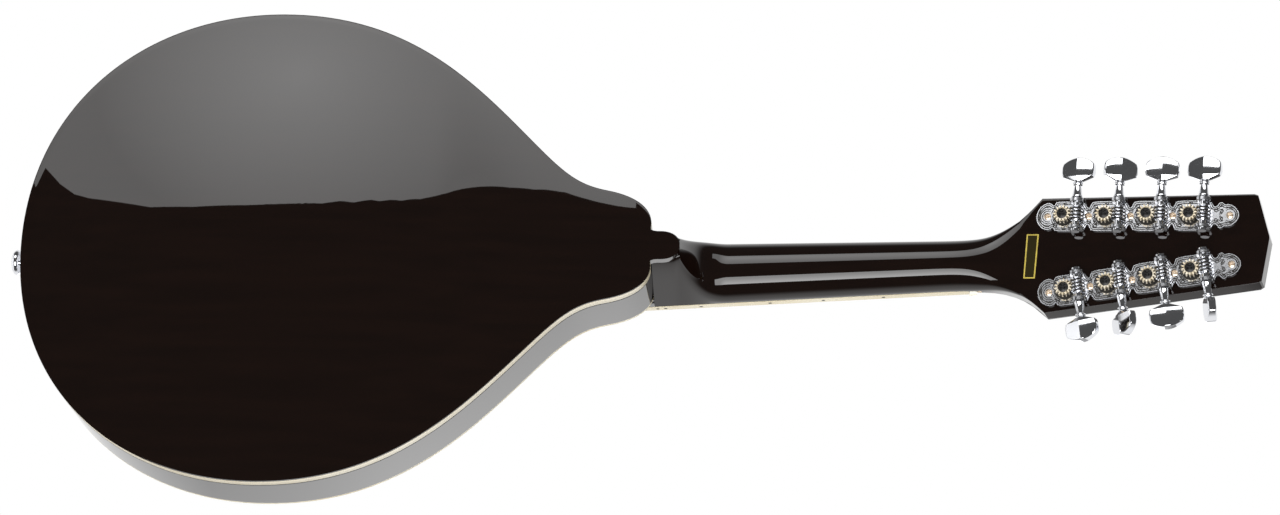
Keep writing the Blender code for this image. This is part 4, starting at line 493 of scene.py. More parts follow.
def tone_drift(name):
    """Slow change of tone over a surface: a low noise mixes a clean and an aged colour."""
    tree, given, out, place = new_group(
        name, [("Clean", "Color", (0.8, 0.8, 0.8, 1)), ("Aged", "Color", (0.6, 0.6, 0.6, 1)),
               ("Scale", "Float", 25.0)], [("Colour", "Color")])
    drift = add_node(tree, "TexNoise", {"Detail": 5.0})
    mask = add_node(tree, "MapRange", {"From Min": 0.38, "From Max": 0.66})
    mix = add_node(tree, "Mix", data_type="RGBA")
    wire(tree, (place, "Object", drift, "Vector"), (given, "Scale", drift, "Scale"),
         (drift, "Fac", mask, "Value"), (mask, "Result", mix, "Factor"), (given, "Clean", mix, 6),
         (given, "Aged", mix, 7), (mix, 2, out, "Colour"))
    return tree


GROUP_MAKERS = {"Handling Marks": handling_marks, "Wood Grain": wood_grain, "Tone Drift": tone_drift}


def add_group(tree, name, values):
    """A node of a shared group, which is built the first time that it is asked for."""
    shared = bpy.data.node_groups.get(name) or GROUP_MAKERS[name](name)
    return add_node(tree, "Group", values, node_tree=shared)


def rgba(colour):
    """A colour with its alpha."""
    return (*colour, 1.0)


def tint(colour, *shares):
    """A colour times one share, or times a share for each channel."""
    shares = shares * 3 if len(shares) == 1 else shares
    return tuple(channel * share for channel, share in zip(colour, shares))


def finish(name, slot, colour, roughness, metallic=0.0, marks=None, drift=None, grain=None, bump=0.0,
           coat=0.0, coat_roughness=0.03, sheen=0.5):
    """One Principled finish, made once and then reused. marks is (spread, scale) of its smears, and drift
    and grain are (second colour, scale)."""
    existing = bpy.data.materials.get(name)
    if existing:
        return existing
    material, tree = new_material(name)
    material["slot"] = slot
    shader = tree.nodes["Principled BSDF"]
    set_values(shader, {"Base Color": rgba(colour), "Roughness": roughness, "Metallic": metallic,
                        "Specular IOR Level": sheen, "Coat Weight": coat, "Coat Roughness": coat_roughness})
    relief = None
    if drift:
        node = add_group(tree, "Tone Drift",
                         {"Clean": rgba(colour), "Aged": rgba(drift[0]), "Scale": drift[1]})
        wire(tree, (node, "Colour", shader, "Base Color"))
    if grain:
        relief = add_group(tree, "Wood Grain",
                           {"Light": rgba(colour), "Dark": rgba(grain[0]), "Scale": grain[1]})
        wire(tree, (relief, "Colour", shader, "Base Color"))
    if marks:
        node = add_group(tree, "Handling Marks", {"Base": roughness, "Spread": marks[0], "Scale": marks[1]})
        wire(tree, (node, "Roughness", shader, "Roughness"))
        relief = relief or node
    if bump and relief:
        node = add_node(tree, "Bump", {"Strength": bump, "Distance": 0.0004})
        wire(tree, (relief, "Height", node, "Height"), (node, "Normal", shader, "Normal"))
    return material


def finishes(colours):
    """All finishes of the instrument, by the maker's names."""
    dark, ivory, chrome, gear, rose, spruce = (
        tuple(getattr(colours, key)) for key in ("lacquer", "ivory", "chrome", "gear", "rosewood", "spruce"))
    return {
        "lacquer": finish("gloss lacquer", "dark_lacquer", dark, 0.22, marks=(0.08, 35.0),
                          grain=(tint(dark, 0.72), 30.0), coat=1.0, coat_roughness=0.012, sheen=0.0),
        "ivory": finish("aged binding", "ivory_binding", ivory, 0.22, marks=(0.08, 60.0), sheen=0.25,
                        drift=(tint(ivory, 0.9, 0.84, 0.72), 22.0)),
        "chrome": finish("plated chrome", "chrome", chrome, 0.045, metallic=1.0, marks=(0.04, 120.0)),
        "worn chrome": finish("stamped chrome", "chrome", tint(chrome, 0.74), 0.15, metallic=1.0,
                              marks=(0.08, 200.0), drift=(tint(chrome, 0.60), 80.0)),
        "gear": finish("gear nickel", "gear_nickel", gear, 0.26, metallic=0.85, marks=(0.14, 500.0),
                       drift=(tint(gear, 0.8, 0.74, 0.62), 300.0)),
        "blackened": finish("blackened steel", "black_plastic", (0.018, 0.017, 0.017), 0.28, metallic=0.6,
                            marks=(0.12, 400.0)),
        # Black of the engraved lines and side dots, also used for the painted shadow under the gears and the
        # painted shade in the worms' grooves
        "engraving": finish("engraved line and painted shade", "black_plastic", (0.012, 0.010, 0.008), 0.5, marks=(0.1, 500.0)),
        "brass screw": finish("screw brass", "gear_nickel", (0.68, 0.57, 0.45), 0.24, metallic=0.9,
                              marks=(0.1, 500.0), drift=((0.50, 0.38, 0.27), 400.0)),
        "rosewood": finish("oiled rosewood", "rosewood", rose, 0.42, grain=(tint(rose, 0.32), 70.0),
                           bump=0.35),
        "spruce": finish("bare spruce", "bare_spruce", spruce, 0.62, grain=(tint(spruce, 0.66), 55.0),
                         bump=0.2),
        "black": finish("black gloss", "black_plastic", (0.014, 0.014, 0.014), 0.12, marks=(0.1, 90.0),
                        drift=((0.022, 0.020, 0.019), 60.0)),
        "bone": finish("polished bone", "bone", (0.80, 0.75, 0.62), 0.30, marks=(0.1, 300.0),
                       drift=((0.70, 0.62, 0.46), 150.0)),
        "string": finish("drawn steel", "string_steel", (0.72, 0.70, 0.66), 0.20, metallic=1.0,
                         marks=(0.1, 900.0)),
        "wound": finish("wound bronze", "string_steel", (0.72, 0.56, 0.36), 0.24, metallic=1.0,
                        marks=(0.1, 900.0)),
        "label": finish("bare label", "ivory_binding", (0.36, 0.28, 0.03), 0.38, marks=(0.08, 60.0),
                        drift=((0.28, 0.21, 0.02), 300.0)),
        "label ground": finish("label ground", "black_plastic", (0.016, 0.013, 0.005), 0.20,
                               marks=(0.05, 60.0), sheen=0.0),
        "pearl": finish("pearl dot", "bone", (0.78, 0.78, 0.76), 0.16, marks=(0.1, 60.0),
                        drift=((0.62, 0.70, 0.70), 500.0)),
    }


# Body

def bezier(p0, p1, p2, p3, count):
    """Points and unit directions on one cubic piece, without its last point."""
    p0, p1, p2, p3 = (np.array(p, float) for p in (p0, p1, p2, p3))
    t = np.linspace(0, 1, count, endpoint=False)[:, None]
    u = 1 - t
    points = p0 * u ** 3 + 3 * p1 * u * u * t + 3 * p2 * u * t * t + p3 * t ** 3
    return points, unit((p1 - p0) * u * u + 2 * (p2 - p1) * u * t + (p3 - p2) * t * t)


def leaned(point, degrees, reach):
    """A handle up the neck from a point, leaned to the centre line by some degrees."""
    turn = math.radians(degrees)
    return (point[0] - math.sin(turn) * reach, point[1] + math.cos(turn) * reach)


def half_outline(offset=0.0, counts=(54, 40, 22, 16)):
    """The treble half of the body's edge, tail to heel: four cubic pieces, moved out along their normals."""
    tail, widest, waist = (0.0, TAIL_Z), (WIDEST_HALF, WIDEST), (55.7, -62.6)
    shoulder, crown = (30.4, -23.2), (10.9, 0.0)
    pieces = [
        (tail, (83.4, TAIL_Z), (WIDEST_HALF, -284.9), widest),
        (widest, (WIDEST_HALF, -134.9), leaned(waist, 45.7, -48.4), waist),
        (waist, leaned(waist, 45.7, 24.0), leaned(shoulder, 11.4, -15.4), shoulder),
        (shoulder, leaned(shoulder, 11.4, 17.5), leaned(crown, 98.2, -8.5), crown),
    ]
    parts = [bezier(*part, count) for part, count in zip(pieces, counts)]
    points = np.vstack([p for p, _ in parts] + [np.array([crown])])
    slopes = np.vstack([s for _, s in parts] + [np.array([(-1.0, 0.0)])])
    return points + offset * np.stack([slopes[:, 1], -slopes[:, 0]], 1)


def full_outline(offset=0.0):
    """The closed edge of the body: treble half, then the bass half as its mirror."""
    return mirrored(half_outline(offset))


def half_width_at(z):
    """The body's half width at one station up the neck."""
    half = half_outline()
    order = np.argsort(half[:, 1])
    return np.interp(z, half[order, 1], half[order, 0])


def edge_share(x, z, centre=ARCH_CENTRE):
    """Distance from a centre on the middle line as a share of the distance to the edge the same way."""
    edge = full_outline() - (0.0, centre)
    turn = np.unwrap(np.arctan2(edge[:, 1], edge[:, 0]))
    reach = np.hypot(edge[:, 0], edge[:, 1])
    order = np.argsort(turn)
    at = np.arctan2(z - centre, x)
    return np.hypot(x, z - centre) / np.interp(at, turn[order], reach[order], period=2 * math.pi)


def back_rise(x, z, height):
    """Pressed back. Below the widest station a bowl, height times one less the edge share squared. Above
    it a constant curve across: height times the half width squared less x squared, over the widest squared.
    Towards the heel that curve is pressed flatter in a smooth step, and eases back to itself at the heel."""
    press_from, press_length, ease_from, ease_length, pressed = -118.0, 62.0, -50.0, 45.0, 0.45
    width = half_width_at(z)
    bowl = 1 - np.clip(edge_share(x, z, WIDEST), 0, 1) ** 2
    step = np.clip((z - press_from) / press_length, 0, 1)
    ease = np.clip((z - ease_from) / ease_length, 0, 1)
    flatter = pressed * step * step * (3 - 2 * step) * (1 - ease ** 1.3)
    trough = np.clip(width ** 2 - x ** 2, 0, None) / WIDEST_HALF ** 2 * (1 - flatter)
    return height * np.where(z < WIDEST, bowl, trough)


def top_rise(share, height):
    """Carved top: a raised cosine of the edge share with a shallow recurve inside the edge."""
    recurve, depth = 0.78, 0.5
    dip = np.where(share > recurve, depth * np.sin(math.pi * (share - recurve) / (1 - recurve)), 0.0)
    return height * (1 + np.cos(math.pi * share)) / 2 - dip


def plate_shell(rise_of, edge_y, outward, thickness, lip, brim=()):
    """A hollowed plate as one skin: outside from its pole to the edge, over a brim of (offset, y) if one is
    given, round the lip and back inside."""
    edge = full_outline()
    shares = 1 - np.linspace(0, 1, 34) ** 1.15
    centre = np.array((0.0, ARCH_CENTRE))
    rows = []
    for share in shares[::-1]:
        spot = centre + (edge - centre) * share
        rows.append(flat_bench(*spot.T, edge_y + outward * rise_of(spot, share)))
    for offset, y in brim:
        rows.append(flat_bench(*full_outline(offset).T, y))
    rows.append(flat_bench(*edge.T, edge_y - outward * lip))
    for share in shares[shares <= 0.95]:
        spot = centre + (edge - centre) * share
        depth = np.maximum(rise_of(spot, share) - thickness, -lip)
        rows.append(flat_bench(*spot.T, edge_y + outward * depth))
    return shell(np.array(rows))


def along_outline(profile, gap=0.0):
    """A profile of (offset, y) carried round the body's edge, open over the heel when a gap is given."""
    loops = []
    for offset, y in profile:
        line = half_outline(offset)
        if gap:
            line = np.vstack([line, (gap, offset)])
        line = mirrored(line)
        if gap:
            line = np.roll(line, -len(line) // 2, axis=0)
        loops.append(flat_bench(*line.T, y))
    return shell(np.array(loops).transpose(1, 0, 2), wrap_rows=not gap)


def make_back(sizes, looks):
    """Back plate and its button over the heel."""
    height, wide, tall = mm(sizes.back_arch), mm(sizes.binding_width), mm(sizes.binding_height)
    brim = [(wide - 0.6, -0.02), (wide - 0.25, -0.08), (wide - 0.05, -0.2), (wide, -0.34), (0.1, -0.34)]
    skin = plate_shell(lambda spot, share: back_rise(*spot.T, height), 0.0, 1, mm(sizes.plate), tall, brim)
    turn = np.linspace(0, math.pi / 2, 14)
    crest = np.stack([8.2 * np.cos(turn) ** 0.85, 6.2 + 11.0 * np.sin(turn) ** 0.9], 1)
    root = [(12.4, -2.6), (10.4, -0.4), (9.1, 1.2), (8.4, 3.0), (8.2, 4.8)]
    outline = mirrored(np.vstack([root, crest[:-1], [(0.0, 17.2)]]), 0, -1)
    button = slab(outline, flat_bench, -tall, 0.03, 0.45)
    recast("back_plate", [skin, button], looks["lacquer"], 30)


def hole_outline(side):
    """One f-hole in (x, z): a slot that swings like a sine, with a round eye at each end."""
    middle_x, middle_z, swing, reach = 64.0, -188.0, 9.0, 37.0
    t = np.linspace(-1, 1, 22)
    spine = middle_x - swing * np.sin(t * math.pi / 2)
    z = middle_z + t * reach
    half = 2.5 * (1.15 - 0.55 * t * t)
    slot = np.vstack([np.stack([spine - half, z], 1), np.stack([spine + half, z], 1)[::-1]])
    eyes = [polar(radius, circle(32), (middle_x - end * (swing - radius * 0.6), middle_z + end * reach))
            for end, radius in ((-1, 5.0), (1, 4.0))]
    return [outline * (side, 1) for outline in (slot, *eyes)]


def cut_away(obj, cutters):
    """Takes the cutters out of a piece and writes the result into its mesh."""
    for tool in cutters:
        step = obj.modifiers.new("cut", "BOOLEAN")
        step.operation = "DIFFERENCE"
        step.solver = "EXACT"
        step.object = tool
    evaluated = obj.evaluated_get(bpy.context.evaluated_depsgraph_get())
    mesh = bpy.data.meshes.new_from_object(evaluated)
    obj.modifiers.clear()
    obj.data = mesh
    for tool in cutters:
        bpy.data.objects.remove(tool)
    shaded(mesh, 30)


def make_top(sizes, looks):
    """Top plate with its two f-holes and the cut-outs for pickup and controls."""
    height, edge_y = mm(sizes.top_arch), -mm(sizes.rim_depth)
    skin = plate_shell(lambda spot, share: np.full(len(spot), float(top_rise(share, height))), edge_y, -1,
                       mm(sizes.plate), mm(sizes.binding_height))
    top = recast("top_plate", [skin], looks["lacquer"], 30)
    pickup = [(-25.5, -91.0), (25.5, -91.0), (25.5, -77.0), (-25.5, -77.0)]
    openings = [*hole_outline(-1), *hole_outline(1), pickup]
    tools = [slab(outline, flat_bench, edge_y - 30.0, edge_y + 12.0, 0.01) for outline in openings]
    tools += [turned([(3.8, 0.0), (3.8, 60.0)], (x, -85.0, z), (0, 1, 0), 32) for x, z in KNOBS.values()]
    cut_away(top, [linked("cutter", skin_mesh("cutter", *tool, merge=False)) for tool in tools])


def make_rim(sizes, looks):
    """Ribs and the two bindings: profiles carried round the edge."""
    wide, tall, depth = mm(sizes.binding_width), mm(sizes.binding_height), mm(sizes.rim_depth)
    low, bend = mm(sizes.top_binding_height), 0.35
    ribs = [(wide - 2.2, -tall - 0.35), (wide - 0.15, -tall - 0.35), (wide, -tall - 0.5), (wide, -tall - 1.0),
            (wide, -depth + low + 1.0), (wide, -depth + low + 0.5), (wide - 0.15, -depth + low + 0.35),
            (wide - 2.2, -depth + low + 0.35)]
    back = [(0.05, -tall), (0.05, -0.37), (wide - 0.1, -0.37), (wide, -0.45), (wide, -tall + 0.1),
            (wide - 0.1, -tall)]
    top = [(0.05, -low), (0.05, 0.0), (wide - bend, 0.0), (wide - bend * 0.3, -bend * 0.3), (wide, -bend),
           (wide, -low + 0.1), (wide - 0.1, -low)]
    top = [(offset, -depth - y) for offset, y in top]
    piece("ribs_finished", [along_outline(ribs)], looks["lacquer"], hides=("rib_bass", "rib_treble"),
          sharp=50)
    recast("back_binding", [along_outline(back, gap=8.9)], looks["ivory"], 50)
    recast("top_binding", [along_outline(top)], looks["ivory"], 50)
    dress(("back_lining", "top_lining", "neck_block", "tail_block", "tone_bar_bass", "tone_bar_treble"),
          looks["spruce"])


# Neck and headstock

def board_y(z):
    """The fingerboard's top at one station."""
    return -BOARD_TOP + NECK_PITCH * z


def board_half_width(z):
    """The fingerboard's half width with its binding."""
    return HEEL_HALF + (NUT_HALF - HEEL_HALF) * z / NUT_Z


def head_point(x, s, depth):
    """A bench point from x, the distance from the nut and the depth under the headstock's face."""
    x, s, depth = np.broadcast_arrays(np.asarray(x, float), s, depth)
    y = HEAD_FACE + s * math.sin(HEAD_TILT) + depth * math.cos(HEAD_TILT)
    z = NUT_Z + s * math.cos(HEAD_TILT) - depth * math.sin(HEAD_TILT)
    return np.stack([x, y, z], -1)


def head_half_width(s):
    """Half width of the headstock: a curved flare from the nut, then a straight taper to the tip."""
    (shoulder, shoulder_s), (tip, tip_s) = HEAD_SHOULDER, HEAD_TIP
    lean = math.radians(46.0)
    handle = (shoulder - 12.0 * math.sin(lean), shoulder_s - 12.0 * math.cos(lean))
    flare, _ = bezier((NUT_HALF, 0.0), (NUT_HALF, 26.4), handle, HEAD_SHOULDER, 48)
    stations = np.concatenate([flare[:, 1], [shoulder_s, tip_s]])
    return np.interp(s, stations, np.concatenate([flare[:, 0], [shoulder, tip]]))


def sections(origins, across, widths, depths, squareness, back_shares, count=44):
    """Sections of the neck: a flat front and a back that goes from half an ellipse to a box. Along a half
    turn, x is the cosine and the depth the sine, each to the power two over the squareness."""
    def column(values):
        return np.broadcast_to(np.asarray(values, float), len(origins))[:, None]
    turn = np.linspace(0, math.pi, count)
    power = 2 / column(squareness)
    down = np.clip(np.sin(turn), 0, 1)[None] ** power
    down[:, (0, -1)] = 0.0
    side = np.sign(np.cos(turn))[None] * np.abs(np.cos(turn))[None] ** power
    points = origins[:, None] + across * (column(depths) * down)[..., None]
    points[..., 0] += column(widths) * (1 + (column(back_shares) - 1) * down) * side
    return points


def plain_depth(z):
    """Depth of the shaft under its flat front: a slow taper to the nut."""
    heel_end, nut_end = 15.2, 13.6
    return heel_end + (nut_end - heel_end) * np.maximum(z, 0) / NUT_Z


def heel_depth(z):
    """Depth from the flat front down to the heel's foot under the button."""
    return -(board_y(z) + BOARD_THICKNESS + GLUE) - 4.75


def neck_depth(z):
    """Depth of the neck: full at the heel, then a steep scoop that falls with a power of what is left."""
    scoop_from, scoop_length = 17.0, 28.0
    plain, full = plain_depth(z), heel_depth(z)
    left = 1 - np.clip((z - scoop_from) / scoop_length, 0, 1)
    return np.where(z <= scoop_from, full, plain + (full - plain) * left ** 3.2)


def make_neck(looks):
    """Tongue, heel, shaft and headstock as one skin over dense sections. The rows from the scoop to the
    flare are then smoothed along the neck, each to the mean of itself, twice, and its two neighbours."""
    def upright(z):
        front = board_y(np.minimum(z, NUT_Z)) + BOARD_THICKNESS + GLUE
        return np.stack([np.zeros_like(z), front, z], 1)
    heel_end, section = 16.7, 2.2
    tongue = np.linspace(-67.0, 1.5, 10)
    share = np.clip((tongue - ARCH_CENTRE) / -ARCH_CENTRE, 0, 1)
    tongue_depth = -45.2 - top_rise(share, 14.0) - GLUE - upright(tongue)[:, 1]
    scoop = heel_end + 43.3 * np.linspace(0.01, 1, 60) ** 1.4
    heel = np.concatenate([np.linspace(1.55, heel_end, 12), scoop])
    left = 1 - np.clip((heel - heel_end) / 26.0, 0, 1)
    square = section + (9.0 - section) * left ** 2
    depth, plain = neck_depth(heel), plain_depth(heel)
    back = 1 + (8.3 / board_half_width(heel) - 1) * (depth - plain) / (heel_depth(heel) - plain)
    back *= 1 - 0.22 * np.clip((heel - 12.0) / (heel_end - 12.0), 0, 1) ** 2 * left ** 2
    shaft = np.concatenate([np.linspace(66.0, 150.0, 12), np.linspace(152.0, NUT_Z, 13)])
    end = np.array([NUT_Z + 4.0])
    head = np.concatenate([np.linspace(7.0, 45.9, 40), np.linspace(54.0, 159.4, 9)])
    head_square = np.interp(head, (7, 13, 19, 25, 31, 36, 41.5), (2.3, 3.0, 4.5, 7.5, 16.0, 50.0, 150.0))
    head_extra = np.interp(head, (7, 13, 19, 25, 31), (2.9, 1.6, 0.6, 0.1, 0.0))
    tip = np.linspace(0, 1, 8)
    tip_width = HEAD_TIP[0] * (0.97 - 0.94 * tip)
    straight, under = np.array((0.0, 1.0, 0.0)), OVERLAY + GLUE
    groups = [
        (upright(tongue), straight, board_half_width(tongue) - GLUE, tongue_depth, 12.0, 1.0),
        (upright(heel), straight, board_half_width(heel) - GLUE, depth, square, back),
        (upright(shaft), straight, board_half_width(shaft) - GLUE, neck_depth(shaft), section, 1.0),
        (upright(end), straight, NUT_HALF, neck_depth(end), section, 1.0),
        (head_point(0.0, head, under), HEAD_OUT, head_half_width(head), HEAD_WOOD + head_extra, head_square,
         1.0),
        (head_point(0.0, HEAD_TIP[1] + 5.0 * tip, under), HEAD_OUT, tip_width, HEAD_WOOD, 150.0, 1.0),
    ]
    rows = np.vstack([sections(*group) for group in groups])
    counts = np.cumsum([len(group[0]) for group in groups])
    first, last = counts[1] + 14, counts[3] + 24
    for _ in range(40):
        rows[first:last] = (rows[first - 1:last - 1] + 2 * rows[first:last] + rows[first + 1:last + 1]) / 4
    recast("neck", [shell(rows)], looks["lacquer"], 34)


def post_spot(side, order):
    """A post's x and its distance from the nut."""
    run = ROW_PITCH * order
    return side * (FIRST_POST[0] - run * math.sin(ROW_LEAN)), FIRST_POST[1] + run * math.cos(ROW_LEAN)


def screw_head(centre, axis, radius, height, recess=0.55):
    """A domed head with a cross recess: the dome falls with the radius squared, and drops by the recess
    where either coordinate is near the middle."""
    side, other, axis = directions(axis)
    rings, turn = np.linspace(0, 1, 15)[:, None], circle(48)[None]
    u, v = rings * np.cos(turn), rings * np.sin(turn)
    arm = np.clip((0.17 - np.minimum(np.abs(u), np.abs(v))) / 0.07, 0, 1)
    arm = arm * np.clip((0.62 - rings) / 0.08, 0, 1)
    top = height * (1 - 0.65 * rings ** 2) - recess * height * arm
    points = np.array(centre) + radius * (u[..., None] * side + v[..., None] * other) + top[..., None] * axis
    ring = np.cos(turn)[..., None] * side + np.sin(turn)[..., None] * other
    return shell(np.vstack([points, np.array(centre) + radius * ring - 0.3 * axis]))


def make_headstock(looks):
    """Face overlay, its bushings, the rod cover with its screws, and the bare label on the back."""
    def on_back(x, s, height):
        return head_point(x, s, OVERLAY + GLUE + HEAD_WOOD + height)
    softened("headstock_overlay", looks["black"], 0.25)
    softened("truss_rod_cover", looks["black"], 0.35)
    normal = (0.0, -math.cos(HEAD_TILT), math.sin(HEAD_TILT))
    profile = [(3.35, -1.5), (3.35, 1.8), (3.7, 2.1), (4.6, 1.6), (5.2, 0.5), (5.2, 0.02), (3.9, 0.02),
               (3.9, -1.5)]
    bushings = [turned(profile, head_point(*post_spot(side, order), 0.0), normal, 40)
                for side in SIDES.values() for order in range(4)]
    piece("post_bushings", bushings, looks["chrome"])
    screws = [screw_head(head_point(x, s, -1.75), normal, 2.0, 0.7)
              for x, s in ((-6.0, 12.5), (6.0, 12.5), (0, 38.0))]
    piece("rod_cover_screws", screws, looks["chrome"])
    border = [(13.0, 34.9), (-12.4, 32.6), (-12.9, 39.0), (12.5, 41.6)]
    piece("bare_label", [slab(border, on_back, 0.0, 0.10, 0.02)], looks["label"])
    field = [(12.3, 35.6), (-11.8, 33.4), (-12.2, 38.3), (11.8, 40.8)]
    piece("bare_label_field", [slab(field, on_back, 0.08, 0.13, 0.01)], looks["label ground"])


# Tuners

def row_axes(side):
    """Origin and axes of one row: up the row, across it to the treble side, and out of the back."""
    along = np.array((-side * math.sin(ROW_LEAN), math.cos(ROW_LEAN) * math.sin(HEAD_TILT),
                      math.cos(ROW_LEAN) * math.cos(HEAD_TILT)))
    origin = head_point(side * FIRST_POST[0], FIRST_POST[1], OVERLAY + GLUE + HEAD_WOOD)
    return origin, along, np.cross(HEAD_OUT, along), HEAD_OUT


def row_place(side):
    """A function that puts (up the row, outward, height) of one row into the bench frame."""
    origin, along, across, out = row_axes(side)

    def place(p, q, h):
        p, q, h = np.broadcast_arrays(np.asarray(p, float), q, h)
        return origin + p[..., None] * along + (side * q)[..., None] * across + h[..., None] * out
    return place


def tuner_plate_outline():
    """A stamped plate, half and mirrored: a round end with bites, a wing at each gear, waists, ears and a
    shield end."""
    half, waist = 8.7, 5.0
    turn = np.radians((180, 160, 140, 120, 100))
    points = list(zip(-7.6 + 7.6 * np.cos(turn), 8.2 * np.sin(turn)))
    points += [(-6.8, 7.6), (-5.8, 6.3), (-5.2, 6.9), (-4.6, half)]
    for order in range(4):
        gear = ROW_PITCH * order
        if order:
            points += [(gear - 9.0, waist), (gear - 8.4, 6.6), (gear - 7.4, half)]
        points += [(gear + 3.8, half), (gear + 11.4, half), (gear + 12.4, 6.4), (gear + 13.2, waist)]
    points += [(83.4, 5.2), (84.4, 7.0), (85.8, 7.8), (87.0, 7.2), (87.8, 6.2), (90.0, 6.6), (93.0, 5.2),
               (95.2, 2.6), (95.9, 0.0)]
    return rounded(mirrored(np.array(points), 1, -1, (1, -1)))


def lug_shell(place, centre, start, end):
    """A bearing lug: a round-headed profile carried along the worm's line, with a bore through it."""
    half, foot, bore_radius, inset = 3.9, 0.9, 2.4, 0.25
    turn = np.linspace(0, math.pi, 17)
    arch = np.stack([centre + half * np.cos(turn), 4.6 + 3.5 * np.sin(turn) ** 0.8], 1)
    outer = np.vstack([[(centre + half, foot)], arch, [(centre - half, foot)]])
    angle = np.arctan2(outer[:, 1] - WORM_HEIGHT, outer[:, 0] - centre)
    bore = polar(bore_radius, angle, (centre, WORM_HEIGHT))
    drawn = outer + (np.array((centre, 4.2)) - outer) * (inset / 4.0)
    rows = [(bore, start), (drawn, start), (outer, start + inset), (outer, end - inset), (drawn, end),
            (bore, end)]
    return shell(np.array([place(loop[:, 0], q, loop[:, 1]) for loop, q in rows]), wrap_rows=True)


def ribbon(place, line, width, level):
    """A thin flat line: the route widened to both sides and given two faces, with its ends tapered."""
    line = np.asarray(line, float)
    ahead = unit(np.gradient(line, axis=0))
    taper = width / 2 * np.ones(len(line))
    taper[:2] *= (0.3, 0.8)
    taper[-2:] *= (0.8, 0.3)
    shift = np.stack([-ahead[:, 1], ahead[:, 0]], 1) * taper[:, None]
    left, right, under = (line + shift).T, (line - shift).T, level - 0.12
    rows = [place(*left, level), place(*right, level), place(*right, under), place(*left, under)]
    return shell(np.array(rows).transpose(1, 0, 2))


def spiral(centre, radius, turns, start, hand):
    """A scroll: the radius shrinks to a fifth while the angle runs on by the turns."""
    t = np.linspace(0, 1, int(26 * turns) + 6)
    return polar(radius * (1 - 0.8 * t), math.radians(start) + hand * 2 * math.pi * turns * t, centre)


def arc(centre, radius, start, end, count, hand=1, stretch=1.0):
    """Part of a circle on the middle line between two angles, mirrored by the hand and stretched across."""
    turn = np.radians(np.linspace(start, end, count)) * hand
    return np.stack([centre + radius * np.cos(turn), radius * np.sin(turn) * stretch], 1)


def scrolls(place, outline):
    """The plate's engraving: two contour lines, arcs at the gears, mirrored scrolls and fans, with a black
    disc under each gear as painted shadow.
    """
    lines = []
    for inset in (0.9, 1.9):
        inside = outline + inward(outline) * inset
        lines.append(np.vstack([inside, inside[:1]]))
    for order in range(4):
        gear = ROW_PITCH * order
        for flip in (-1, 1):
            lines.append(spiral((gear - (5.4 if order else 4.6), 5.4 * flip), 1.5, 1.4, 200 * flip, flip))
            lines.append(spiral((gear + 14.0, 2.9 * flip), 1.3, 1.3, 90 * flip, -flip))
            lines.append(spiral((gear + 0.6, 7.1 * flip), 0.9, 1.2, 180 * flip, -flip))
            lines += [arc(gear, 5.9, 118, 205, 14, flip), arc(gear, 6.9, 124, 168, 9, flip)]
        t = np.linspace(0, 1, 8)
        for sweep in (-0.55, -0.2, 0.2, 0.55):
            lines.append(np.stack([gear + 15.9 + 1.9 * t, 5.2 * sweep * (0.3 + t)], 1))
    lines += [arc(-8.4, ring, 70, 290, 28) for ring in (3.2, 4.3, 5.4)]
    lines += [arc(90.6, ring, -130, 130, 26, stretch=1.15) for ring in (3.1, 3.9)]
    for flip in (-1, 1):
        lines.append(spiral((85.8, 5.6 * flip), 1.3, 1.3, 0, flip))
        lines.append(spiral((86.0, 2.2 * flip), 1.4, 1.2, 180, -flip))
    # Black discs a little wider than each gear, flat on the plate: painted shadow under the gears
    shadow_discs = [slab(polar(5.5, circle(48), (ROW_PITCH * order, 0.0)), place, 1.0, 1.14, 0.02)
             for order in range(4)]
    return shadow_discs + [ribbon(place, line, 0.5, 1.18) for line in lines]


def make_tuner_plates(looks):
    """Plates with their bearing lugs, mounting screws and engraved scrolls, and black discs painted as shadow
    under the gears.
    """
    outline = tuner_plate_outline()
    for label, side in SIDES.items():
        place = row_place(side)
        parts = [slab(outline, place, 0.2, 1.1, 0.18)]
        parts += [lug_shell(place, ROW_PITCH * order + WORM_UP, start, end)
                  for order in range(4) for start, end in ((6.7, 9.0), (-8.5, -6.7))]
        recast(f"tuner_plate_{label}", parts, looks["worn chrome"])
        screws = [screw_head(place(p, 0.0, 1.1), HEAD_OUT, 1.95, 0.9)
                  for p in (-8.9, 13.75, 36.75, 59.75, 90.6)]
        piece(f"plate_screws_{label}", screws, looks["brass screw"])
        # Engraved lines together with the black discs of painted shadow under the gears
        piece(f"plate_engraving_and_gear_shadows_{label}", scrolls(place, outline), looks["engraving"])


def tooth_wave(phase, crest, foot):
    """One tooth a turn: one at the crest, nought past the foot, with straight flanks. phase is in turns."""
    away = np.abs((phase + 0.5) % 1.0 - 0.5)
    return np.clip((foot - away) / (foot - crest), 0, 1)


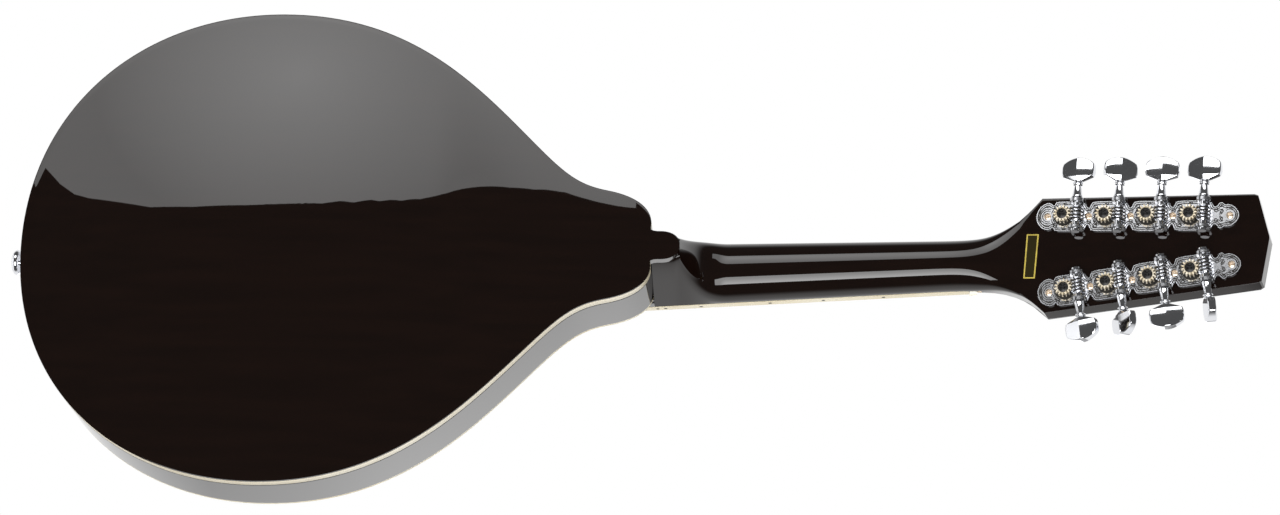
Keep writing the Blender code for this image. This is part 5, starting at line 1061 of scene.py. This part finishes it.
def make_gears(sizes, looks):
    """Posts with their toothed wheels, centre screws and coils of string."""
    teeth, pitch_radius, worm = sizes.teeth, mm(sizes.gear_radius), mm(sizes.worm_radius)
    lead = 2 * math.pi * pitch_radius / teeth
    outer, root = pitch_radius + 0.45, pitch_radius - 1.0
    low, high = WORM_HEIGHT - 1.6, WORM_HEIGHT + 1.6
    lean = lead / (2 * math.pi * worm) / pitch_radius
    face = -(OVERLAY + GLUE + HEAD_WOOD)
    coil = face - COIL_DEPTH
    levels = [(2.75, low), (0, low), (0, high - 0.25), (-0.25, high), (3.25, high), (3.1, high - 0.5),
              (2.75, high - 0.5)]
    shank = [(2.0, face - 13.1), (2.7, face - 12.9), (3.0, face - 12.2), (3.0, coil - 2.6),
             (2.55, coil - 2.0), (2.5, coil + 2.0), (3.0, coil + 2.6), (3.0, low - 0.6), (3.4, low - 0.5),
             (3.4, low + 0.4), (2.9, low + 0.5), (2.9, high - 0.6)]
    turn = circle(teeth * 16)
    wraps = 4
    wound = np.linspace(0, 2 * math.pi * wraps, wraps * 24)
    for label, side in SIDES.items():
        origin, along, across, out = row_axes(side)
        for order in range(4):
            gear_turn = -side * math.radians(KEY_TURNS[label][order]) / teeth
            centre = origin + along * ROW_PITCH * order

            def local(radius, angle, height):
                return (centre + (radius * np.cos(angle))[..., None] * along
                        + (radius * np.sin(angle))[..., None] * across + np.asarray(height)[..., None] * out)
            rows = []
            for radius, height in levels:
                if radius <= 0:
                    phase = (turn - lean * (height - WORM_HEIGHT)) * teeth / (2 * math.pi)
                    radius = root + (outer - root) * tooth_wave(phase, 0.12, 0.33) + radius
                rows.append(local(radius, turn + gear_turn, height))
            name = f"{label}_{order + 1}"
            parts = [shell(np.array(rows), wrap_rows=True), turned(shank, centre, out, 40)]
            recast(f"gear_post_{name}", parts, looks["gear"])
            head = screw_head(centre + out * (high - 0.55), out, 2.85, 1.15, 0.75)
            piece(f"gear_screw_{name}", [head], looks["blackened"], body=f"post_{name}")
            index = order if side < 0 else 7 - order
            radius = STRING_RADII[index]
            helix = local(COIL_CORE + radius, wound, coil + 1.3 - 2.6 * wound / wound[-1])
            piece(f"string_coil_{name}", [tube(helix, min(radius, 0.32), 8)],
                  looks["wound" if index < 4 else "string"], body=f"post_{name}")


def button_shell(local, start, width, length, thick):
    """A faceted button. Each face has two flat halves that meet at a ridge and thin out to the sides. The
    outline opens from a shallow vee, and its end is arched: the height falls with the width squared."""
    y = np.linspace(-0.94, 0.94, 13)
    face = np.stack([1 - 0.38 * np.abs(y) / 0.94, y], 1)
    section = np.vstack([face, [(0.45, 1.0), (-0.45, 1.0)], (face * (-1, 1))[::-1],
                         [(-0.45, -1.0), (0.45, -1.0)]])
    rows = []
    for t, wide, deep in ((0.0, 0.26, 0.66), (0.02, 0.32, 0.74), (0.19, 0.93, 0.93), (0.40, 1.0, 1.0),
                          (0.78, 0.99, 0.98), (0.96, 0.95, 0.86), (1.0, 0.92, 0.72)):
        fall = 0.27 * (wide * section[:, 1]) ** 2 * np.clip((t - 0.3) / 0.7, 0, 1)
        height = start + length * (t - fall)
        rows.append(local(thick * deep * section[:, 0], width * wide * section[:, 1], height))
    count = len(section)
    end = (len(rows) - 1) * count
    faces = ring_faces(len(rows), count, False) + [list(range(count))[::-1]]
    faces += [[end + i, end + i + 1, end + 26 - i, end + 27 - i] for i in range(12)]
    faces += [[end + i for i in (12, 13, 14, 15)], [end + i for i in (29, 0, 27, 28)]]
    return np.array(rows).reshape(-1, 3), faces


def make_keys(sizes, looks):
    """Tuner keys: worm with its helical thread, bearings, tapered stem and faceted button, and a black tube
    along the thread's root as painted shade.
    """
    teeth, pitch_radius, worm = sizes.teeth, mm(sizes.gear_radius), mm(sizes.worm_radius)
    lead = 2 * math.pi * pitch_radius / teeth
    outer, root, reach = worm + 0.42, worm - 0.85, 4.2
    width, length, thick = mm(sizes.button_width) / 2, mm(sizes.button_length), mm(sizes.button_thickness) / 2
    stem = [(2.3, -10.3), (2.65, -9.9), (2.65, -8.95), (2.05, -8.85), (2.05, 9.3), (3.0, 9.4), (3.0, 10.2),
            (2.8, 10.5), (1.9, 15.9), (1.9, 16.1), (2.55, 16.3), (2.7, 16.7), (2.25, 17.0), (2.25, 17.2),
            (2.7, 17.4), (2.75, 18.1), (2.4, 18.4), (2.2, 19.3)]
    button_start = 18.6
    turn, height = circle(44)[None], np.linspace(-reach, reach, 80)[:, None]
    phase = (height - lead * 0.75) / lead - turn / (2 * math.pi)
    thread = root + (outer - root) * tooth_wave(phase, 0.13, 0.37)
    thread[(0, -1), :] = 2.2
    groove = np.linspace(-3.9, 3.9, 150)
    groove_turn = 2 * math.pi * (groove / lead - 0.25)
    for label, side in SIDES.items():
        origin, along, across, out = row_axes(side)
        z_axis = side * across
        y_axis = np.cross(z_axis, out)
        for order in range(4):
            centre = origin + along * (ROW_PITCH * order + WORM_UP) + out * WORM_HEIGHT
            spin = math.radians(KEY_TURNS[label][order]) + (0.0 if side > 0 else math.pi)
            x_turned = math.cos(spin) * out + math.sin(spin) * y_axis
            y_turned = -math.sin(spin) * out + math.cos(spin) * y_axis

            def local(x, y, z):
                return centre + x[..., None] * x_turned + y[..., None] * y_turned + z[..., None] * z_axis
            name = f"{label}_{order + 1}"
            skins = [shell(local(thread * np.cos(turn), thread * np.sin(turn), height)),
                     turned(stem, centre, z_axis, 40)]
            recast(f"tuner_key_{name}", skins, looks["chrome"], 34)
            piece(f"tuner_button_{name}", [button_shell(local, button_start, width, length, thick)],
                  looks["chrome"], body=f"key_{name}", sharp=11, bevel=0.22)
            # A thin black tube along the root of the worm's thread: painted shade in the groove
            route = local((root + 0.1) * np.cos(groove_turn), (root + 0.1) * np.sin(groove_turn), groove)
            piece(f"worm_groove_painted_shade_{name}", [tube(route, 0.34, 8)], looks["engraving"], body=f"key_{name}")


# Fingerboard, strings, bridge and tailpiece

def fret_z(number):
    """Where a fret stands: the scale shrinks by the twelfth root of two a fret."""
    return NUT_Z - SCALE_LENGTH * (1 - 2 ** (-number / 12))


def between_frets(numbers, twelfth):
    """Middles between frets as (z, shift): one each, but two at the twelfth fret, shifted to both sides."""
    return [((fret_z(number) + fret_z(number - 1)) / 2, shift) for number in numbers
            for shift in ((-twelfth, twelfth) if number == 12 else (0.0,))]


def make_fingerboard(looks):
    """Board, frets, position dots on its face and side, binding and nut."""
    def board_place(x, z, drop):
        return np.stack([x, board_y(z) + drop, z], -1)
    inset, last_fret = 1.7, 20
    stations = np.linspace(NUT_Z - GLUE, fret_z(last_fret) - 4.0 + inset, 12)
    outline = mirrored(np.stack([board_half_width(stations) - inset, stations], 1), 0)
    recast("fingerboard", [slab(outline, board_place, 0.0, BOARD_THICKNESS, 0.1)], looks["rosewood"])
    frets = []
    turn = np.linspace(0, math.pi, 9)[None]
    for number in range(1, last_fret + 1):
        z = fret_z(number)
        half = board_half_width(z) - 1.2
        middle = np.linspace(-half + 0.9, half - 0.9, 9)
        x = np.concatenate([[-half, -half + 0.5], middle, [half - 0.5, half]])[:, None]
        lift = np.interp(np.abs(x), (0, half - 0.9, half - 0.5, half), (1.0, 1.0, 0.8, 0.15))
        y = board_y(z) + 0.15 - (lift + 0.15) * np.sin(turn)
        frets.append(shell(flat_bench(x, z + np.cos(turn), y)))
    piece("frets", frets, looks["chrome"], sharp=50)
    dots = [turned([(2.4, -0.2), (2.4, 0.04), (2.2, 0.06)], (x, board_y(z), z), (0, -1, NECK_PITCH), 32)
            for z, x in between_frets((5, 7, 10, 12, 15), 6.5)]
    piece("position_dots", dots, looks["pearl"])
    spots = [z + shift for z, shift in between_frets((3, 5, 7, 10, 12, 15), 2.2)]
    marks = [turned([(0.95, -0.3), (0.95, 0.03)], (-board_half_width(z), board_y(z) + 2.6, z), (-1, 0, 0), 24)
             for z in spots]
    piece("side_dots", marks, looks["engraving"])
    softened("fingerboard_binding", looks["ivory"], 0.2)
    softened("nut", looks["bone"], 0.12)
    dress(("truss_rod",), looks["chrome"])


def string_line_y(z, radius):
    """A string's centre between nut and bridge."""
    nut_y, join_y = board_y(NUT_Z) - 1.25, board_y(0.0) - 2.5
    return nut_y + (join_y - nut_y) * (NUT_Z - z) / NUT_Z - radius


def tail_point(x, run, height):
    """A point over the tailpiece's sloping sheet: run up from the tail and height over its underside."""
    slope = math.radians(9.6)
    y = -47.8 - run * math.sin(slope) - height * math.cos(slope)
    return np.array((x, y, TAIL_Z + run * math.cos(slope) - height * math.sin(slope)))


def string_route(index):
    """One string's corners: hook, saddle, nut and post, with points between for the tube."""
    course, pair = index // 2 - 1.5, (-1 if index % 2 == 0 else 1)
    radius = STRING_RADII[index]
    side = -1 if index < 4 else 1
    post_x, post_s = post_spot(side, index if side < 0 else 7 - index)
    corners = [
        tail_point(course * 9.4 + pair * 1.25, 15.25 + radius, 1.2 + 1.8 + radius),
        np.array((course * 12.2 + pair * 1.25, string_line_y(BRIDGE_Z, radius), BRIDGE_Z)),
        np.array((course * 7.2 + pair * 0.9, string_line_y(NUT_Z, radius), NUT_Z)),
        head_point(post_x - side * (COIL_CORE + radius), post_s, -COIL_DEPTH),
    ]
    t = np.array((0.0, 0.01, 0.5, 0.99))[:, None]
    return np.vstack([a * (1 - t) + b * t for a, b in zip(corners, corners[1:])] + [corners[-1][None]])


def make_strings(looks):
    """Eight strings over the fitted ones: hook, saddle, nut and post."""
    for index, radius in enumerate(STRING_RADII):
        node = f"string_{index + 1}"
        recast(node, [tube(string_route(index), radius, 10)], looks["wound" if index < 4 else "string"], 60)


def make_bridge(looks):
    """Base, saddle and thumbwheels with eased edges."""
    softened("bridge_base", looks["rosewood"], 0.6)
    softened("bridge_saddle", looks["rosewood"], 0.45)
    for label in SIDES:
        low, high = bench_box(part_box(f"thumbwheel_{label}"))
        x, y, z = (low + high) / 2
        profile = [(1.95, y + 1.15, 0), (4.7, y + 1.2, 0), (5.35, y + 0.75, 0.14), (5.35, y - 0.75, 0.14),
                   (4.7, y - 1.2, 0), (1.95, y - 1.15, 0)]
        recast(f"thumbwheel_{label}", [shell(knurled(profile, (x, z), 144), wrap_rows=True)],
               looks["chrome"], 50)


def make_tailpiece(looks):
    """Tailpiece base and sliding cover with rounded edges, its screws and the strap pin."""
    softened("tailpiece_base", looks["chrome"], 0.25)
    softened("tailpiece_cover", looks["chrome"], 0.4)
    profile = [(2.2, 8.0), (2.2, -2.9), (5.4, -3.0), (5.6, -3.3), (5.4, -3.8), (3.5, -5.0), (3.05, -6.4),
               (3.2, -7.8), (4.4, -9.2), (6.3, -10.2), (7.15, -11.2), (7.2, -12.1), (6.7, -13.2),
               (5.4, -14.1), (4.4, -14.35), (4.2, -14.1), (3.2, -14.1), (3.0, -14.4), (0.6, -14.6)]
    recast("end_pin", [turned(profile, (0.0, -37.0, TAIL_Z), (0, 0, 1), 56)], looks["chrome"])
    screws = [screw_head((x, y, TAIL_Z - 2.8), (0, 0, -1), 2.1, 0.8)
              for x, y in ((-14.0, -31.0), (14.0, -31.0), (0.0, -25.5))]
    piece("tailpiece_screws", screws, looks["chrome"])


# Electrics

def make_electrics(looks):
    """Pickup with its screws, the two knobs, the jack with its nut, and what lies inside."""
    softened("pickup", looks["chrome"], 0.5)
    top = bench_box(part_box("pickup"))[0][1]
    poles = [turned([(1.9, -0.8), (1.9, 0.25), (1.6, 0.45)], (x, top, -84.0), (0, -1, 0), 28)
             for x in (-17.4, -5.8, 5.8, 17.4)]
    piece("pickup_poles", poles, looks["worn chrome"])
    for label, (x, z) in KNOBS.items():
        (_, crown, _), (_, foot, _) = bench_box(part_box(f"{label}_knob"))
        profile = [(2.55, foot, 0)] + [(radius, crown + drop, depth) for radius, drop, depth in (
            (2.55, 14.05, 0), (8.9, 14.0, 0), (9.35, 13.6, 0), (9.2, 12.4, 0), (8.6, 11.9, 0.16),
            (7.9, 1.2, 0.16), (7.3, 0.25, 0), (6.2, 0, 0), (5.9, 0.35, 0), (0.0, 0.45, 0))]
        recast(f"{label}_knob", [shell(knurled(profile, (x, z), 180))], looks["black"], 50)
        mark = [(x - 0.35, z + 2.2), (x + 0.35, z + 2.2), (x + 0.35, z + 5.6), (x - 0.35, z + 5.6)]
        piece(f"{label}_knob_mark", [slab(mark, flat_bench, crown + 0.33, crown + 0.6, 0.02)], looks["ivory"],
              body=label)
    softened("output_jack", looks["chrome"], 0.15)
    near, jack_y, bore_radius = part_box("jack_nut")[0].x * 1000, -22.6, 4.85
    profile = [(bore_radius, 0.0), (7.9, 0.0), (8.4, 0.25), (8.2, 0.7), (bore_radius, 0.8),
               (bore_radius, 0.4)]
    washer = turned(profile, (near, jack_y, WIDEST), (1, 0, 0))
    hexagon = polar(7.3, np.radians(np.arange(0, 360, 60)))
    points = np.vstack([hexagon + (np.roll(hexagon, -1, axis=0) - hexagon) * t for t in (0.0, 0.33, 0.67)])
    ring = points[np.argsort(np.arctan2(points[:, 1], points[:, 0]))]
    bore = bore_radius * unit(ring)
    loops = ((bore, 0.85), (ring * 0.97, 0.85), (ring, 1.1), (ring, 2.8), (ring * 0.95, 3.15), (bore, 3.15))
    rows = [flat_bench(near + height, WIDEST + loop[:, 1], jack_y + loop[:, 0]) for loop, height in loops]
    recast("jack_nut", [washer, shell(np.array(rows), wrap_rows=True)], looks["chrome"], 28)
    dress(("volume_pot", "tone_pot"), looks["worn chrome"])
    dress(("wiring",), looks["black"])


# Stage

def glowing(name, hot_spot, edge, hot):
    """A lamp's face: its strength falls evenly from the hot spot to the edge strength a metre away."""
    material, tree = new_material(name)
    tree.nodes.clear()
    place = add_node(tree, "TexCoord")
    shift = add_node(tree, "VectorMath", {1: tuple(hot_spot)}, operation="SUBTRACT")
    fall = add_node(tree, "TexGradient", gradient_type="SPHERICAL")
    ramp = add_node(tree, "MapRange", {"To Min": edge, "To Max": hot})
    lamp = add_node(tree, "Emission")
    wire(tree, (place, "Object", shift, 0), (shift, "Vector", fall, "Vector"), (fall, "Fac", ramp, "Value"),
         (ramp, "Result", lamp, "Strength"), (lamp, "Emission", add_node(tree, "OutputMaterial"), "Surface"))
    return material


def softbox(name, bearing, distance, outline, hot_spot, edge, hot):
    """A flat lamp that faces the body. Its outline and hot spot are (metres across, metres up), and the
    bearing is taken from the back's normal towards the treble side."""
    turn = math.radians(bearing)
    base = np.array((math.sin(turn), math.cos(turn), 0.0)) * distance + (0.0, 0.02, 0.0)
    side = np.array((math.cos(turn), -math.sin(turn), 0.0))
    spots = [base + side * across + (0.0, 0.0, height) for across, height in (*outline, hot_spot)]
    mesh = bpy.data.meshes.new(name)
    mesh.from_pydata([tuple(spot) for spot in spots[:-1]], [], [tuple(range(len(outline)))])
    mesh.materials.append(glowing(name, spots[-1], edge, hot))
    obj = linked(name, mesh)
    obj.visible_camera = False


def make_world(room):
    """White for what the camera and the gloss see behind the instrument, dark on the camera's side."""
    world = bpy.data.worlds.new("studio")
    bpy.context.scene.world = world
    world.use_nodes = True
    tree = world.node_tree
    tree.nodes.clear()
    place = add_node(tree, "TexCoord")
    split = add_node(tree, "SeparateXYZ")
    behind = add_node(tree, "MapRange", {"From Min": 0.0, "From Max": -0.5, "To Min": 0.085, "To Max": 1.0},
                      interpolation_type="SMOOTHSTEP")
    rays = add_node(tree, "LightPath")
    gloss = add_node(tree, "Math", operation="MAXIMUM")
    seen = add_node(tree, "Mix", {"A": room}, data_type="FLOAT")
    camera = add_node(tree, "Mix", {"B": 1.0}, data_type="FLOAT")
    light = add_node(tree, "Background", {"Color": (1.0, 1.0, 1.0, 1.0)})
    wire(tree, (place, "Generated", split, "Vector"), (split, "Y", behind, "Value"),
         (rays, "Is Glossy Ray", gloss, 0), (rays, "Is Transmission Ray", gloss, 1),
         (gloss, 0, seen, "Factor"), (behind, "Result", seen, "B"), (rays, "Is Camera Ray", camera, "Factor"),
         (seen, "Result", camera, "A"), (camera, "Result", light, "Strength"),
         (light, "Background", add_node(tree, "OutputWorld"), "Surface"))


def make_floor():
    """A pale round floor below the hanging instrument."""
    rim = polar(1.4, circle(96), (0.0, -0.5))
    mesh = bpy.data.meshes.new("floor")
    mesh.from_pydata([(x, y, -2.0) for x, y in rim.tolist()], [], [list(range(len(rim)))])
    material, tree = new_material("pale floor")
    set_values(tree.nodes["Principled BSDF"], {"Base Color": (0.86, 0.86, 0.86, 1), "Roughness": 0.7})
    mesh.materials.append(material)
    floor = linked("floor", mesh)


def make_camera():
    """The photograph's camera, rolled by a quarter turn so that the neck runs across the frame."""
    data = bpy.data.cameras.new("camera")
    data.lens = 92.59
    data.sensor_width = 36.0
    data.clip_start = 0.05
    data.clip_end = 50.0
    right = Vector((0.026578, -0.053171, 0.998232))
    up = Vector((0.941792, 0.336120, -0.007172))
    back = Vector((-0.335144, 0.940317, 0.059009))
    turn = Matrix((right, up, back)).transposed().to_4x4()
    turn.translation = Vector(to_row((-609.60, 1689.46, 101.74)))
    camera = linked("camera", data)
    camera.matrix_world = turn
    bpy.context.scene.camera = camera


# Operators and panel

def looks_of(context):
    """The finishes in the panel's colours."""
    return finishes(context.scene.mandolin_finish)


class MANDOLIN_OT_stage(bpy.types.Operator):
    """Sets the camera, the pale floor, the room, its lamps and the dim card beside the headstock"""
    bl_idname = "mandolin.stage"
    bl_label = "Stage"

    def execute(self, context):
        studio = context.scene.mandolin_studio
        bpy.context.scene.view_settings.view_transform = "Standard"
        make_camera()
        make_world(studio.room)
        make_floor()
        softbox("softbox_treble", 43.0, 2.4, KEY_LAMP, (-0.08, -0.72), studio.softbox * LAMP_EDGE,
                studio.softbox)
        softbox("softbox_bass", -28.5, 2.2, [(-0.58, -1.5), (-0.58, 1.2), (0.54, 1.2), (0.54, -1.5)],
                (-0.7, -0.5), studio.strip * LAMP_EDGE, studio.strip)
        softbox("grey_card", -160.0, 2.1, [(-0.08, 0.19), (-0.08, 0.9), (0.30, 0.9), (0.30, 0.19)],
                (0.1, 0.0), 0.14, 0.6)
        softbox("backdrop", 180.0, 2.4, [(-2.0, -1.8), (-2.0, 1.7), (2.0, 1.7), (2.0, -1.8)], (0.5, -0.1),
                1.0, studio.backdrop)
        return {"FINISHED"}


class MANDOLIN_OT_back(bpy.types.Operator):
    """Makes the pressed back and its button over the heel"""
    bl_idname = "mandolin.back"
    bl_label = "Back"

    def execute(self, context):
        make_back(context.scene.mandolin_body, looks_of(context))
        return {"FINISHED"}


class MANDOLIN_OT_top(bpy.types.Operator):
    """Makes the carved top with its f-holes"""
    bl_idname = "mandolin.top"
    bl_label = "Top"

    def execute(self, context):
        make_top(context.scene.mandolin_body, looks_of(context))
        return {"FINISHED"}


class MANDOLIN_OT_rim(bpy.types.Operator):
    """Makes the ribs and both bindings, and dresses the wood inside"""
    bl_idname = "mandolin.rim"
    bl_label = "Rim and Bindings"

    def execute(self, context):
        make_rim(context.scene.mandolin_body, looks_of(context))
        return {"FINISHED"}


class MANDOLIN_OT_neck(bpy.types.Operator):
    """Makes the neck with its heel and headstock"""
    bl_idname = "mandolin.neck"
    bl_label = "Neck"

    def execute(self, context):
        make_neck(looks_of(context))
        return {"FINISHED"}


class MANDOLIN_OT_headstock(bpy.types.Operator):
    """Makes the overlay, bushings, rod cover and bare label"""
    bl_idname = "mandolin.headstock"
    bl_label = "Headstock"

    def execute(self, context):
        make_headstock(looks_of(context))
        return {"FINISHED"}


class MANDOLIN_OT_tuner_plates(bpy.types.Operator):
    """Makes the stamped plates with lugs, screws, engraving and painted shadows under the gears"""
    bl_idname = "mandolin.tuner_plates"
    bl_label = "Tuner Plates"

    def execute(self, context):
        make_tuner_plates(looks_of(context))
        return {"FINISHED"}


class MANDOLIN_OT_tuner_gears(bpy.types.Operator):
    """Makes the posts with their gears, screws and string coils"""
    bl_idname = "mandolin.tuner_gears"
    bl_label = "Tuner Gears"

    def execute(self, context):
        make_gears(context.scene.mandolin_tuners, looks_of(context))
        return {"FINISHED"}


class MANDOLIN_OT_tuner_keys(bpy.types.Operator):
    """Makes the eight keys with worm, stem and button"""
    bl_idname = "mandolin.tuner_keys"
    bl_label = "Tuner Keys"

    def execute(self, context):
        make_keys(context.scene.mandolin_tuners, looks_of(context))
        return {"FINISHED"}


class MANDOLIN_OT_fingerboard(bpy.types.Operator):
    """Makes the fingerboard, frets, dots, binding and nut"""
    bl_idname = "mandolin.fingerboard"
    bl_label = "Fingerboard"

    def execute(self, context):
        make_fingerboard(looks_of(context))
        return {"FINISHED"}


class MANDOLIN_OT_strings(bpy.types.Operator):
    """Makes the eight strings"""
    bl_idname = "mandolin.strings"
    bl_label = "Strings"

    def execute(self, context):
        make_strings(looks_of(context))
        return {"FINISHED"}


class MANDOLIN_OT_bridge(bpy.types.Operator):
    """Makes the bridge's base, saddle and thumbwheels"""
    bl_idname = "mandolin.bridge"
    bl_label = "Bridge"

    def execute(self, context):
        make_bridge(looks_of(context))
        return {"FINISHED"}


class MANDOLIN_OT_tailpiece(bpy.types.Operator):
    """Makes the tailpiece, its cover, screws and the strap pin"""
    bl_idname = "mandolin.tailpiece"
    bl_label = "Tailpiece"

    def execute(self, context):
        make_tailpiece(looks_of(context))
        return {"FINISHED"}


class MANDOLIN_OT_electrics(bpy.types.Operator):
    """Makes the pickup, knobs, jack and wiring"""
    bl_idname = "mandolin.electrics"
    bl_label = "Electrics"

    def execute(self, context):
        make_electrics(looks_of(context))
        return {"FINISHED"}


STEPS = (
    MANDOLIN_OT_stage, MANDOLIN_OT_back, MANDOLIN_OT_top, MANDOLIN_OT_rim, MANDOLIN_OT_neck,
    MANDOLIN_OT_headstock, MANDOLIN_OT_tuner_plates, MANDOLIN_OT_tuner_gears, MANDOLIN_OT_tuner_keys,
    MANDOLIN_OT_fingerboard, MANDOLIN_OT_strings, MANDOLIN_OT_bridge, MANDOLIN_OT_tailpiece,
    MANDOLIN_OT_electrics,
)


class MANDOLIN_PT_panel(bpy.types.Panel):
    """Lists the instrument's sizes, colours and steps"""
    bl_idname = "MANDOLIN_PT_panel"
    bl_label = "Electric Mandolin"
    bl_space_type = "VIEW_3D"
    bl_region_type = "UI"
    bl_category = "Mandolin"

    def draw(self, context):
        layout = self.layout
        scene = context.scene
        for label, group in (("Body", scene.mandolin_body), ("Tuners", scene.mandolin_tuners),
                             ("Finish", scene.mandolin_finish), ("Studio", scene.mandolin_studio)):
            box = layout.box()
            box.label(text=label)
            for key in type(group).__annotations__:
                box.prop(group, key)
        for step in STEPS:
            layout.operator(step.bl_idname)


GROUPS = {
    "mandolin_body": MandolinBody,
    "mandolin_tuners": MandolinTuners,
    "mandolin_finish": MandolinFinish,
    "mandolin_studio": MandolinStudio,
}


def register():
    for group in GROUPS.values():
        bpy.utils.register_class(group)
    for key, group in GROUPS.items():
        setattr(bpy.types.Scene, key, bpy.props.PointerProperty(type=group))
    for step in STEPS:
        bpy.utils.register_class(step)
    bpy.utils.register_class(MANDOLIN_PT_panel)


def unregister():
    bpy.utils.unregister_class(MANDOLIN_PT_panel)
    for step in reversed(STEPS):
        bpy.utils.unregister_class(step)
    for key in GROUPS:
        delattr(bpy.types.Scene, key)
    for group in GROUPS.values():
        bpy.utils.unregister_class(group)


def main():
    register()
    for step in STEPS:
        getattr(bpy.ops.mandolin, step.bl_idname.split(".")[1])()


if __name__ == "__main__":
    main()
